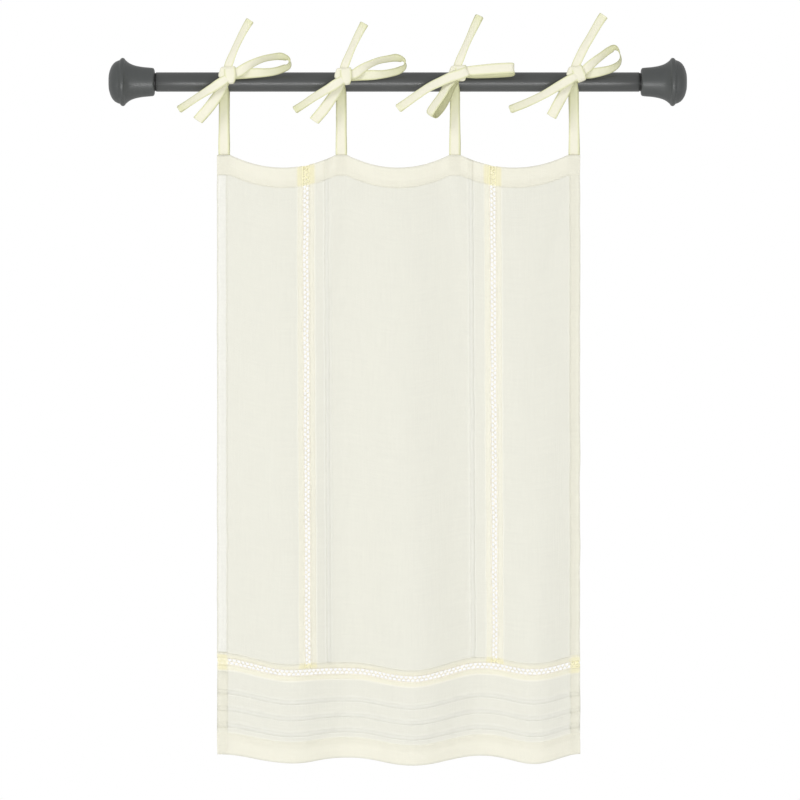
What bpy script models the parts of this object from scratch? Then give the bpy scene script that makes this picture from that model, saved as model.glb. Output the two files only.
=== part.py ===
"""Cafe curtain with lace insertions, tied by four bows to a tension rod.

Metres, +Z up, +X along the rod, and -Y towards the room. The origin is the
middle of the left cap's flat end face, which presses on the left wall.
"""
import math
from collections import namedtuple

import bmesh
import bpy
from mathutils import Vector

GAP = 0.0003                     # clearance between two pieces that touch
FULL_TURN = 2 * math.pi

# ---- tension rod ---------------------------------------------------------

ROD_LENGTH = 0.716               # over both end caps
TUBE_RADIUS = 0.012
TUBE_WALL = 0.001
ROD_SEGMENTS = 28                # round the rod and its caps

NECK_LENGTH = 0.002              # black collar between cap and tube
NECK_RADIUS = 0.0112
SOCKET_DEPTH = 0.025             # how far the plug goes into the cap
SPIGOT_LENGTH = 0.020            # how far it goes into the tube

CapPoint = namedtuple("CapPoint", "along radius")
CAP_OUTSIDE = (                  # mouth to end face: rounded lip, flare, bead, dome
    CapPoint(0.0564, 0.0150),
    CapPoint(0.0552, 0.0170),
    CapPoint(0.0520, 0.0177),
    CapPoint(0.0420, 0.0186),
    CapPoint(0.0330, 0.0203),
    CapPoint(0.0260, 0.0230),
    CapPoint(0.0210, 0.0268),
    CapPoint(0.0193, 0.0290),
    CapPoint(0.0172, 0.0299),
    CapPoint(0.0150, 0.0291),
    CapPoint(0.0136, 0.0273),
    CapPoint(0.0100, 0.0259),
    CapPoint(0.0065, 0.0236),
    CapPoint(0.0036, 0.0200),
    CapPoint(0.0014, 0.0152),
    CapPoint(0.0, 0.0100),
)
CAP_LENGTH = CAP_OUTSIDE[0].along
TUBE_START = CAP_LENGTH + NECK_LENGTH

# ---- curtain as sewn: across from its left edge, down from its top edge ---

CURTAIN_LEFT = 0.134             # from the end face to the curtain's left edge
WIDTH = 0.450
LENGTH = 0.745
TOP_HEM = 0.0255
LEFT_HEM = 0.0125
RIGHT_HEM = 0.0130
BOTTOM_HEM = 0.026

CLOTH_DOUBLE = 0.0018            # thickness of hems, tucks and turned edges
CLOTH_SINGLE = 0.0010
FOLD_STEP = 0.0004               # run of the step where a fold begins

LACE_WIDTH = 0.0080
LACE_ACROSS = (0.1097, 0.3417)   # middles of the two lengthwise strips
LACE_LINE = 0.634                # down to the middle of the cross strip
TURNED_EDGE = 0.0060             # doubled linen beside each lace strip

TUCKS_ACROSS = ((0.1327, 0.1383), (0.3115, 0.3170))
TUCK_DEPTH = 0.0055
TUCKS_DOWN = (0.0390, 0.0590, 0.0785)    # lower edges, below the cross lace

COLUMN_SPACING = 0.012
BAND_SPACING = 0.018
ROW_SPACING = 0.075

# ---- how it hangs --------------------------------------------------------

TIES_ACROSS = (0.009, 0.154, 0.295, 0.442)
TIE_SHOULDER = 0.007             # half of the flat stretch under each tie
TOP_DROP = 0.0905                # rod axis down to the curtain's shoulders
TOP_SAG = 0.016                  # of the top edge between two ties
TOP_SWELL = 0.2                  # share of the folds' depth left at the top
LEAN = 0.0035                    # the middle drifts this far right on its way down

# One row for each crest and trough of the soft folds, from left to right.
# The drops are measured from the rod's axis, and the swell is towards the wall.
Fold = namedtuple("Fold", "top_across hem_across lace_drop hem_drop swell")
FOLDS = (
    Fold(0.0000, 0.0000, 0.7180, 0.8340, 0.006),
    Fold(0.0815, 0.0880, 0.7320, 0.8436, -0.010),
    Fold(0.1540, 0.1587, 0.7305, 0.8380, 0.008),
    Fold(0.2245, 0.2393, 0.7397, 0.8460, -0.011),
    Fold(0.2950, 0.3260, 0.7240, 0.8358, 0.010),
    Fold(0.3685, 0.3920, 0.7310, 0.8444, -0.009),
    Fold(0.4500, 0.4500, 0.7220, 0.8340, 0.005),
)

# ---- ties ----------------------------------------------------------------

TAPE_WIDTH = 0.010
TAPE_THICKNESS = 0.0010
TAB_LENGTH = 0.022               # sewn down behind the top hem
TAB_RISE = 0.003                 # the strands part this far above the hem
STRAND_SHIFT = 0.0014            # the two strands lie this far off centre
STRAND_LAP = 0.9 * TAPE_THICKNESS
WRAP_RADIUS = TUBE_RADIUS + 2 * GAP + TAPE_THICKNESS / 2
WRAP_STEPS = 10
WRAP_START = math.radians(-5)    # the back strand meets the rod, seen from its left end
WRAP_END = math.radians(148)     # and leaves it above the knot
SMOOTH_STEPS = 2                 # ribbon segments between two stations

# A bow lies in front of the rod. Each station of a ribbon is measured from the
# strap's middle and the rod's axis: across, up, and in front of the axis.
# turn is 0 where the tape shows its face and 90 where it shows its edge, and a
# loop that folds flat at its tip has no turn there.
Station = namedtuple("Station", "across up front turn")
Knot = namedtuple("Knot", "across up width height")
Bow = namedtuple("Bow", "knot tail_up loop_right tail_down loop_left")
KNOT_FRONT = 0.0195              # rod axis to the middle of the knot
KNOT_THICKNESS = 0.0125
KNOT_SEGMENTS = 12


def millimetres(*rows):
    """Ribbon stations from rows of across, up, front in mm and turn in degrees."""
    return [Station(x / 1000, z / 1000, y / 1000, turn) for x, z, y, turn in rows]


BOWS = (
    Bow(
        Knot(0.0049, 0.0068, 0.0235, 0.0215),
        tail_up=millimetres(
            (4, 10, 20, 10), (9, 28, 21, 8), (18, 49, 23, 0), (26, 63, 25, -10), (34, 75, 26, -14)),
        loop_right=millimetres(
            (9, 11, 19, 60), (20, 16, 21, 66), (36, 24.5, 23, 72), (56, 29.8, 24, 76),
            (73, 32.5, 24, 80), (81.5, 24.5, 25, 80), (75, 15.5, 25, 62), (56, 10.5, 25, 38),
            (38, 9.5, 24, 14), (20, 7.5, 22.5, 6), (8, 4, 21, 6)),
        tail_down=millimetres(
            (0, 4, 20, 4), (-9, -3, 21, 4), (-24, -14, 23, 0), (-40, -25, 25, -6), (-56, -35.5, 26, -8)),
        loop_left=millimetres(
            (3, 2, 22, 20), (-6, -11, 24.5, 14), (-18, -28, 26, 6), (-28, -42, 26, 0),
            (-31.5, -46.5, 23, 0), (-28.5, -42.5, 20, 0), (-17, -27, 18.5, 6), (-7, -13, 18, 10),
            (1, 0, 18, 12)),
    ),
    Bow(
        Knot(0.0029, 0.0055, 0.0230, 0.0210),
        tail_up=millimetres(
            (3, 9, 20, 10), (8, 26, 21, 8), (16, 46, 23, 2), (23, 60, 24, -8), (30, 71.5, 25, -12)),
        loop_right=millimetres(
            (8, 10, 19, 60), (18, 15, 21, 66), (34, 23, 23, 72), (54, 29, 24, 76),
            (70, 31.5, 24, 80), (78.5, 23.5, 25, 80), (72, 14.5, 25, 62), (54, 9.5, 25, 38),
            (36, 8.5, 24, 14), (18, 6, 22.5, 6), (6, 3, 21, 6)),
        tail_down=millimetres(
            (-1, 3, 20, 4), (-11, -4, 21, 4), (-26, -15, 23, 0), (-42, -26, 25, -6), (-57.5, -36.5, 26, -8)),
        loop_left=millimetres(
            (2, 1, 22, 20), (-7, -12, 24.5, 14), (-19, -29, 26, 6), (-29.5, -43.5, 26, 0),
            (-33, -48, 23, 0), (-30, -44, 20, 0), (-18, -28, 18.5, 6), (-8, -14, 18, 10),
            (0, -1, 18, 12)),
    ),
    Bow(
        Knot(0.0042, 0.0096, 0.0250, 0.0195),
        tail_up=millimetres(
            (4, 13, 20, 10), (9, 31, 21, 8), (16, 54, 23, 2), (24, 69, 25, -8), (33.5, 81, 26, -14)),
        loop_right=millimetres(
            (9, 13, 22.5, 8), (24, 14.5, 24.5, 8), (48, 16, 26, 6), (69, 16, 26, 8), (73.5, 15, 22.5, 10),
            (69.5, 12.5, 19.5, 8), (48, 11, 18.5, 6), (26, 10, 18, 6), (9, 8, 18, 6)),
        tail_down=millimetres(
            (-1, 6, 20, 4), (-14, 3, 21, 4), (-34, -3.5, 23, 2), (-50, -13.5, 25, 0), (-70.5, -34.5, 26, -6)),
        loop_left=millimetres(
            (-2, 2, 22.5, 40), (-10, -5, 24, 46), (-20, -18, 26, 50), (-28, -33, 27, 60),
            (-31, -43, 25, 84), (-25, -44, 22, 88), (-18, -33, 20, 70), (-11, -19, 19, 56),
            (-3, -5, 18, 40), (3, 2, 17.5, 30)),
    ),
    Bow(
        Knot(0.0029, 0.0086, 0.0250, 0.0195),
        tail_up=millimetres(
            (3, 12, 20, 6), (9, 28, 21, 4), (19, 47, 23, 0), (28, 64, 25, -4), (37.5, 80.5, 26, -6)),
        loop_right=millimetres(
            (8, 12, 19, 40), (17, 18.5, 21, 40), (30, 31, 23, 46), (43, 42, 24, 60), (52, 45, 25, 78),
            (58.5, 36, 26, 84), (58, 24, 26, 60), (50, 14.5, 25, 30), (36, 10, 24, 12), (20, 7.5, 22.5, 8),
            (7, 5, 21, 8)),
        tail_down=millimetres(
            (-2, 6, 20, 4), (-14, 3, 21, 4), (-34, -6, 23, 2), (-57, -20, 25, 0), (-80, -35, 26, -6)),
        loop_left=millimetres(
            (0, 2, 22, 20), (-6, -10, 24.5, 14), (-16, -26, 26, 6), (-24.5, -39, 26, 0),
            (-27.5, -43, 23, 0), (-25, -39, 20, 0), (-15, -25, 18.5, 6), (-7, -11, 18, 10),
            (1, 0, 18, 12)),
    ),
)


# ---- scene, materials and placing ----------------------------------------

def start_empty():
    """Remove what the file holds and make the two collections."""
    for thing in list(bpy.data.objects):
        bpy.data.objects.remove(thing, do_unlink=True)
    collections = []
    for name in ("cafe_curtain_on_rod", "cutters"):
        collection = bpy.data.collections.new(name)
        bpy.context.scene.collection.children.link(collection)
        collections.append(collection)
    return collections


def finish(name, colour, roughness, metallic=0.0):
    """A plain material for one kind of piece."""
    material = bpy.data.materials.new(name)
    material.use_nodes = True
    shader = material.node_tree.nodes["Principled BSDF"]
    shader.inputs["Base Color"].default_value = (*colour, 1.0)
    shader.inputs["Roughness"].default_value = roughness
    shader.inputs["Metallic"].default_value = metallic
    return material


def place(name, mesh, material, parent, collection):
    """An object for a mesh, at its parent's place."""
    mesh.materials.append(material)
    piece = bpy.data.objects.new(name, mesh)
    collection.objects.link(piece)
    piece.parent = parent
    return piece


def guide(name, location):
    """An empty that the pieces are placed from."""
    empty = bpy.data.objects.new(name, None)
    empty.location = location
    parts.objects.link(empty)
    return empty


def mix(low, high, share):
    return low + (high - low) * share


# ---- rod -----------------------------------------------------------------

def turned(name, profile, material, closed=False):
    """A solid of revolution about local Z. The profile runs down its outer side."""
    edges = [(i, i + 1) for i in range(len(profile) - 1)]
    if closed:
        edges.append((len(profile) - 1, 0))
    mesh = bpy.data.meshes.new(name)
    mesh.from_pydata([(radius, 0.0, along) for along, radius in profile], edges, [])
    piece = place(name, mesh, material, rod_centre, parts)
    screw = piece.modifiers.new("turn", "SCREW")
    screw.axis = "Z"
    screw.angle = FULL_TURN
    screw.steps = screw.render_steps = ROD_SEGMENTS
    screw.use_merge_vertices = True
    screw.merge_threshold = 0.00001
    screw.use_smooth_shade = True
    return piece


def face_along_rod(piece, side):
    """Lay a turned piece along the rod: side -1 starts at the left end, +1 at the right."""
    piece.rotation_euler = (0.0, -side * math.pi / 2, 0.0)
    piece.location = (side * ROD_LENGTH / 2, 0.0, 0.0)


def make_tube(material):
    inner = TUBE_RADIUS - TUBE_WALL
    end = ROD_LENGTH - TUBE_START
    profile = [(end, inner), (end, TUBE_RADIUS), (TUBE_START, TUBE_RADIUS), (TUBE_START, inner)]
    face_along_rod(turned("rod_tube", profile, material, closed=True), -1)


def make_end_cap(name, side, material):
    socket_radius = NECK_RADIUS + GAP
    socket_floor = CAP_LENGTH - SOCKET_DEPTH
    profile = [(socket_floor, 0.0), (socket_floor, socket_radius), (CAP_LENGTH, socket_radius)]
    profile += [tuple(point) for point in CAP_OUTSIDE]
    profile.append((0.0, 0.0))
    face_along_rod(turned(name, profile, material), side)


def make_plug(name, side, material):
    spigot_radius = TUBE_RADIUS - TUBE_WALL - GAP
    floor = CAP_LENGTH - SOCKET_DEPTH + GAP
    shoulder = TUBE_START - GAP
    tip = TUBE_START + SPIGOT_LENGTH
    profile = [(tip, 0.0), (tip, spigot_radius), (shoulder, spigot_radius),
               (shoulder, NECK_RADIUS), (floor, NECK_RADIUS), (floor, 0.0)]
    face_along_rod(turned(name, profile, material), side)


# ---- how the cloth hangs -------------------------------------------------

def between_folds(across, places, values):
    """A soft wave through one value for each crest and trough."""
    for index in range(len(places) - 1):
        if across <= places[index + 1] or index == len(places) - 2:
            share = (across - places[index]) / (places[index + 1] - places[index])
            share = min(max(share, 0.0), 1.0)
            return mix(values[index], values[index + 1], (1 - math.cos(math.pi * share)) / 2)


def fold_values(column):
    return [getattr(fold, column) for fold in FOLDS]


def top_drop(across):
    """The top edge hangs in a shallow curve from tie to tie."""
    for left, right in zip(TIES_ACROSS, TIES_ACROSS[1:]):
        start = left + TIE_SHOULDER
        end = right - TIE_SHOULDER
        if start < across < end:
            from_middle = 2 * (across - start) / (end - start) - 1
            return TOP_DROP + TOP_SAG * (1 - from_middle ** 2)
    return TOP_DROP


def hang(across, down):
    """Where a point of the sewn curtain hangs, from the curtain's left edge and the rod's axis."""
    share = min(down / LACE_LINE, 1.0)
    below = max(down - LACE_LINE, 0.0) / (LENGTH - LACE_LINE)
    hem_places = fold_values("hem_across")
    lace_drop = between_folds(across, hem_places, fold_values("lace_drop"))
    hem_drop = between_folds(across, hem_places, fold_values("hem_drop"))
    drop = mix(mix(top_drop(across), lace_drop, share), hem_drop, below)
    places = [mix(fold.top_across, fold.hem_across, share) for fold in FOLDS]
    depth = between_folds(across, places, fold_values("swell")) * mix(TOP_SWELL, 1.0, share)
    drift = LEAN * share * (1 - (2 * across / WIDTH - 1) ** 4)
    return Vector((across + drift, depth, -drop))


# ---- cloth ---------------------------------------------------------------

def grid_lines(start, end, folds, spacing):
    """Lines from start to end as (place, folded), with a close pair where a fold begins."""
    cuts = sorted({start, end, *(place for fold in folds for place in fold)})
    lines = []
    for low, high in zip(cuts, cuts[1:]):
        folded = any(first <= low and high <= last for first, last in folds)
        first = low if low == start else low + FOLD_STEP / 2
        last = high if high == end else high - FOLD_STEP / 2
        count = max(1, round((last - first) / spacing))
        lines += [(mix(first, last, step / count), folded) for step in range(count + 1)]
    return lines


def cloth(name, across, down, material, folds_across=(), folds_down=(), spacing=COLUMN_SPACING):
    """A hanging sheet over a range across and down, doubled along its hems and tucks."""
    columns = grid_lines(*across, folds_across, spacing)
    rows = grid_lines(*down, folds_down, ROW_SPACING)
    last_column = len(columns) - 1
    last_row = len(rows) - 1
    sheet = bmesh.new()
    bmesh.ops.create_grid(sheet, x_segments=last_column, y_segments=last_row, size=0.5)
    folded = []
    for corner in sheet.verts:
        column, column_folded = columns[round((corner.co.x + 0.5) * last_column)]
        row, row_folded = rows[round((0.5 - corner.co.y) * last_row)]
        corner.co = hang(column, row)
        if column_folded or row_folded:
            folded.append(corner.index)
    mesh = bpy.data.meshes.new(name)
    sheet.to_mesh(mesh)
    sheet.free()
    mesh.shade_smooth()
    piece = place(name, mesh, material, curtain_corner, parts)
    piece.vertex_groups.new(name="folded").add(folded, 1.0, "REPLACE")
    shell = piece.modifiers.new("cloth", "SOLIDIFY")
    shell.thickness = CLOTH_DOUBLE
    shell.offset = 0.0
    shell.vertex_group = "folded"
    shell.thickness_vertex_group = CLOTH_SINGLE / CLOTH_DOUBLE


def make_panels(material):
    """Three panels, with the turned edges that the lace strips are sewn to."""
    seam = LACE_WIDTH / 2 + GAP
    left_lace, right_lace = LACE_ACROSS
    bottom = LACE_LINE - seam
    down = (0.0, bottom)
    folds_down = [(0.0, TOP_HEM), (bottom - TURNED_EDGE, bottom)]
    edge = left_lace - seam
    cloth("panel_left", (0.0, edge), down, material,
          [(0.0, LEFT_HEM), (edge - TURNED_EDGE, edge)], folds_down)
    start, edge = left_lace + seam, right_lace - seam
    cloth("panel_centre", (start, edge), down, material,
          [(start, start + TURNED_EDGE), *TUCKS_ACROSS, (edge - TURNED_EDGE, edge)], folds_down)
    start = right_lace + seam
    cloth("panel_right", (start, WIDTH), down, material,
          [(start, start + TURNED_EDGE), (WIDTH - RIGHT_HEM, WIDTH)], folds_down)


def make_lace(material):
    """Two lengthwise strips, and a cross strip whose ends are turned in with the side hems."""
    half = LACE_WIDTH / 2
    for name, middle in zip(("lace_left", "lace_right"), LACE_ACROSS):
        cloth(name, (middle - half, middle + half), (0.0, LACE_LINE - half - GAP), material,
              folds_down=[(0.0, TOP_HEM)])
    cloth("lace_cross", (0.0, WIDTH), (LACE_LINE - half, LACE_LINE + half), material,
          folds_across=[(0.0, LEFT_HEM), (WIDTH - RIGHT_HEM, WIDTH)])


def make_bottom_band(material):
    """The band below the cross lace: three tucks and the deep hem."""
    top = LACE_LINE + LACE_WIDTH / 2 + GAP
    tucks = [(LACE_LINE + edge - TUCK_DEPTH, LACE_LINE + edge) for edge in TUCKS_DOWN]
    cloth("bottom_band", (0.0, WIDTH), (top, LENGTH), material,
          [(0.0, LEFT_HEM), (WIDTH - RIGHT_HEM, WIDTH)],
          [(top, top + TURNED_EDGE), *tucks, (LENGTH - BOTTOM_HEM, LENGTH)], BAND_SPACING)


# ---- ties ----------------------------------------------------------------

def smooth_run(stations):
    """Catmull-Rom stations through the given ones."""
    run = []
    for index in range(len(stations) - 1):
        before = stations[max(index - 1, 0)]
        start, end = stations[index], stations[index + 1]
        after = stations[min(index + 2, len(stations) - 1)]
        for step in range(SMOOTH_STEPS):
            t = step / SMOOTH_STEPS
            run.append(Station(*(
                (2 * b + (c - a) * t + (2 * a - 5 * b + 4 * c - d) * t ** 2
                 + (3 * b - a - 3 * c + d) * t ** 3) / 2
                for a, b, c, d in zip(before, start, end, after))))
    return run + [stations[-1]]


def tape(name, centres, sides, material, parent):
    """A strip of tape along its centres, with its width along the sides."""
    last = len(centres) - 1
    strip = bmesh.new()
    bmesh.ops.create_grid(strip, x_segments=last, y_segments=1, size=0.5)
    for corner in strip.verts:
        index = round((corner.co.x + 0.5) * last)
        corner.co = centres[index] + sides[index] * (corner.co.y * TAPE_WIDTH)
    mesh = bpy.data.meshes.new(name)
    strip.to_mesh(mesh)
    strip.free()
    piece = place(name, mesh, material, parent, cutters)
    shell = piece.modifiers.new("tape", "SOLIDIFY")
    shell.thickness = TAPE_THICKNESS
    shell.offset = 0.0
    hide(piece)
    return piece


def hide(piece):
    piece.hide_render = True
    piece.display_type = "WIRE"


def bow_ribbon(name, stations, material, parent):
    """A loop or tail of the bow, turned about its own length."""
    run = smooth_run(stations)
    centres = [Vector((s.across, -s.front, s.up)) for s in run]
    tip = max(centres, key=lambda centre: (centre - centres[0]).length)
    reach = tip - centres[0]
    flat = Vector((-reach.z, 0.0, reach.x)).normalized()
    edge = Vector((0.0, 1.0, 0.0))
    sides = []
    for index, station in enumerate(run):
        before = centres[max(index - 1, 0)]
        after = centres[min(index + 1, len(centres) - 1)]
        along = (after - before).normalized()
        turn = math.radians(station.turn)
        side = flat * math.cos(turn) + edge * math.sin(turn)
        sides.append((side - along * side.dot(along)).normalized())
    return tape(name, centres, sides, material, parent)


def strand(name, shift, points, material, parent):
    """One strand of the strap, flat on to the room, through (depth, up) points."""
    centres = [Vector((shift, depth, up)) for depth, up in points]
    return tape(name, centres, [Vector((1.0, 0.0, 0.0))] * len(centres), material, parent)


def make_strap(name, depth, knot, material, parent):
    """Both strands, from the tab behind the hem up to the rod and into the knot."""
    tab_depth = depth + CLOTH_DOUBLE / 2 + GAP + TAPE_THICKNESS / 2
    tab_end = -TOP_DROP - TAB_LENGTH
    tab_top = -TOP_DROP + TAB_RISE
    front = [(tab_depth, tab_end), (tab_depth, tab_top),
             (mix(tab_depth, -WRAP_RADIUS, 0.5), tab_top / 2),
             (-WRAP_RADIUS, 0.0), (-KNOT_FRONT + KNOT_THICKNESS / 4, knot.up)]
    strand(name + "_front", -STRAND_SHIFT, front, material, parent)
    behind = tab_depth + STRAND_LAP
    back = [(behind, tab_end), (behind, tab_top), (mix(behind, WRAP_RADIUS, 0.5), tab_top / 2)]
    for step in range(WRAP_STEPS + 1):
        angle = mix(WRAP_START, WRAP_END, step / WRAP_STEPS)
        back.append((WRAP_RADIUS * math.cos(angle), WRAP_RADIUS * math.sin(angle)))
    back.append((-KNOT_FRONT, knot.up))
    strand(name + "_back", STRAND_SHIFT, back, material, parent)


def make_knot(name, knot, material, parent):
    lump = bmesh.new()
    bmesh.ops.create_uvsphere(lump, u_segments=KNOT_SEGMENTS, v_segments=KNOT_SEGMENTS - 4, radius=0.5)
    bmesh.ops.scale(lump, vec=(knot.width, KNOT_THICKNESS, knot.height), verts=lump.verts)
    bmesh.ops.translate(lump, vec=(knot.across, -KNOT_FRONT, knot.up), verts=lump.verts)
    mesh = bpy.data.meshes.new(name)
    lump.to_mesh(mesh)
    lump.free()
    return place(name, mesh, material, parent, parts)


def make_tie(number, across, bow, material):
    """One tie as one solid: strap, knot, two tails and two loops."""
    name = f"tie_{number}"
    anchor = guide(f"{name}_place", (across, 0.0, 0.0))
    anchor.parent = curtain_corner
    make_strap(name, hang(across, 0.0).y, bow.knot, material, anchor)
    for part in ("tail_up", "loop_right", "tail_down", "loop_left"):
        bow_ribbon(f"{name}_{part}", getattr(bow, part), material, anchor)
    ribbons = bpy.data.collections.new(f"{name}_ribbons")
    cutters.children.link(ribbons)
    for ribbon in list(anchor.children):
        cutters.objects.unlink(ribbon)
        ribbons.objects.link(ribbon)
    union = make_knot(name, bow.knot, material, anchor).modifiers.new("tied", "BOOLEAN")
    union.operation = "UNION"
    union.solver = "EXACT"
    union.use_self = True
    union.operand_type = "COLLECTION"
    union.collection = ribbons


parts, cutters = start_empty()
rod_centre = guide("rod_centre", (ROD_LENGTH / 2, 0.0, 0.0))
curtain_corner = guide("curtain_corner", (CURTAIN_LEFT, 0.0, 0.0))

make_tube(finish("powder_coated_steel", (0.09, 0.09, 0.088), 0.42, 0.6))
rubber = finish("grey_rubber", (0.085, 0.088, 0.086), 0.5)
plastic = finish("black_plastic", (0.008, 0.008, 0.008), 0.4)
for label, end in (("left", -1), ("right", 1)):
    make_plug(f"rod_plug_{label}", end, plastic)
    make_end_cap(f"end_cap_{label}", end, rubber)

linen = finish("sheer_linen", (0.83, 0.82, 0.74), 0.85)
make_panels(linen)
make_bottom_band(linen)
make_lace(finish("cotton_lace", (0.90, 0.87, 0.76), 0.8))
tape_linen = finish("tape_linen", (0.84, 0.81, 0.70), 0.85)
for number, (across, bow) in enumerate(zip(TIES_ACROSS, BOWS), start=1):
    make_tie(number, across, bow, tape_linen)
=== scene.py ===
# %% [markdown]
# # A linen cafe curtain on a tension rod
# The curtain is sheer cream linen with three openwork lace insertions, fine hand-sewn
# tucks and turned hems. Four tape ties hold it to a spring-loaded rod between two walls.
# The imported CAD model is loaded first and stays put: it gives every size and place.

# %% Load the frame
import math

import bmesh
import bpy
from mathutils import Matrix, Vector, noise


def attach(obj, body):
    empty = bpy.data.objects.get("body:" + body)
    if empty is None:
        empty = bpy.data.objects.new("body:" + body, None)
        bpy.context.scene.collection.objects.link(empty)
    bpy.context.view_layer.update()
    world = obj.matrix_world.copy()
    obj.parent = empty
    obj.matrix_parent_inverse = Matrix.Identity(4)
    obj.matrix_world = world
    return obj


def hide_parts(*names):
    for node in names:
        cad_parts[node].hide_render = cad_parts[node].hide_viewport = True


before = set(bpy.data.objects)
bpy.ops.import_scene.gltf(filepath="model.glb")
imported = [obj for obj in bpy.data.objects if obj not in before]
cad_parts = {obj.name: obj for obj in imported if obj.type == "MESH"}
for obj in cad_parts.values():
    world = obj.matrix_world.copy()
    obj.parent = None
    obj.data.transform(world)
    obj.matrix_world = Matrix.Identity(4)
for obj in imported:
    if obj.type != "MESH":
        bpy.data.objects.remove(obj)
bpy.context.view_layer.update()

# %% [markdown]
# ## Camera
# The curtain is seen square on, from the middle of its height. A long lens at five
# metres keeps its edges parallel, as a catalogue picture does.

# %% Camera
VIEW_DISTANCE = 5.0
VIEW_WIDTH = 0.992               # metres across the view at the rod
SENSOR = 36.0
camera_data = bpy.data.cameras.new("room_camera")
camera_data.sensor_width = SENSOR
camera_data.lens = SENSOR * VIEW_DISTANCE / VIEW_WIDTH
camera = bpy.data.objects.new("room_camera", camera_data)
camera.location = (0.3608, -VIEW_DISTANCE, -0.3943)
camera.rotation_euler = (math.radians(90), 0, 0)
bpy.context.scene.collection.objects.link(camera)
bpy.context.scene.camera = camera
bpy.context.scene.view_settings.view_transform = "Standard"
print("lens", round(camera_data.lens, 1), "mm")

# %% [markdown]
# ## Nodes from Python
# A material is a graph of nodes. Two small classes make the graphs readable: `Graph` adds
# any node in one call, and `Value` wraps a node's output so that ordinary arithmetic adds
# the Math nodes it stands for. The same classes build materials and Geometry Nodes.

# %% Node helpers
class Value:
    """A node output that Python's operators work on."""

    def __init__(self, graph, socket):
        self.graph = graph
        self.socket = socket

    def maths(self, operation, *values):
        return self.graph.node("ShaderNodeMath", {"operation": operation}, dict(enumerate(values)))

    def __add__(self, other):
        return self.maths("ADD", self, other)

    def __sub__(self, other):
        return self.maths("SUBTRACT", self, other)

    def __mul__(self, other):
        return self.maths("MULTIPLY", self, other)

    __radd__ = __add__
    __rmul__ = __mul__

    def sine(self):
        return self.maths("SINE", self)

    def size(self):
        return self.maths("ABSOLUTE", self)

    def larger(self, other):
        return self.maths("MAXIMUM", self, other)


class Graph:
    """The nodes of one material or geometry tree."""

    def __init__(self, tree):
        self.tree = tree

    def node(self, kind, settings=None, inputs=None, output=0):
        node = self.tree.nodes.new(kind)
        for name, value in (settings or {}).items():
            setattr(node, name, value)
        for key, value in (inputs or {}).items():
            if isinstance(value, Value):
                self.tree.links.new(value.socket, node.inputs[key])
            else:
                node.inputs[key].default_value = value
        return Value(self, node.outputs[output]) if node.outputs else None

    def feed(self, node, **inputs):
        """Link values to the named sockets of a node that is already there."""
        for name, value in inputs.items():
            self.tree.links.new(value.socket, node.inputs[name.replace("_", " ")])


def new_material(name, roughness, specular=0.5):
    """A material's graph and its shader, with the values that are the same all over."""
    material = bpy.data.materials.new(name)
    material.use_nodes = True
    shader = material.node_tree.nodes["Principled BSDF"]
    shader.inputs["Roughness"].default_value = roughness
    shader.inputs["Specular IOR Level"].default_value = specular
    return material, Graph(material.node_tree), shader


print("node helpers ready")

# %% [markdown]
# ## Linen
# Sheer linen is a plain weave of uneven threads. Its pattern has to follow the cloth
# round every fold, so it reads a UV map called `cut`, which holds metres along the cut
# cloth. Sine waves give the threads, and two stretched noises give the slubs, the long
# thick places in a thread. Light passes between the threads, so Alpha opens there. A
# second layer shows as more body, which a point attribute adds to the colour: 1 for
# two layers, 2 for a thick seam, and -1 for the paler left side hem and the soft tucks.
# On tape the same attribute carries painted shade: a greener shade under the knots and
# inside the loops, and a darker painted shade along the edges and at the tips.

# %% Linen material
THREAD_PITCH = 0.0007
SLUB_ACROSS = 620.0              # slubs to a metre, side by side
SLUB_ALONG = 22.0                # and end to end
CLOUDS = 35.0                    # slow changes of colour to a metre, both ways
SLUB_SHADE, CLOUD_SHADE = 0.018, 0.02          # how far each of them changes the colour
SLUB_COVER = 0.04                # how far a slub closes the weave
WEAVE_HEIGHT, SLUB_HEIGHT = 0.5, 1.2           # shares of the bump


def cut_place(graph):
    """Metres across and down the cut cloth."""
    uv = graph.node("ShaderNodeUVMap", {"uv_map": "cut"})
    parts = graph.node("ShaderNodeSeparateXYZ", inputs={0: uv})
    return parts, Value(graph, parts.socket.node.outputs[1])


def stretched_noise(graph, across, down):
    place = graph.node("ShaderNodeCombineXYZ", inputs={0: across, 1: down})
    return graph.node("ShaderNodeTexNoise", {"noise_dimensions": "2D"},
                      {"Vector": place, "Scale": 1.0, "Detail": 2.0})


def blend_colours(graph, factor, low, high):
    """From one colour to another, each a value or three numbers."""
    low, high = (end if isinstance(end, Value) else (*end, 1.0) for end in (low, high))
    return graph.node("ShaderNodeMix", {"data_type": "RGBA"},
                      {0: factor, 6: low, 7: high}, output=2)


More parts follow.
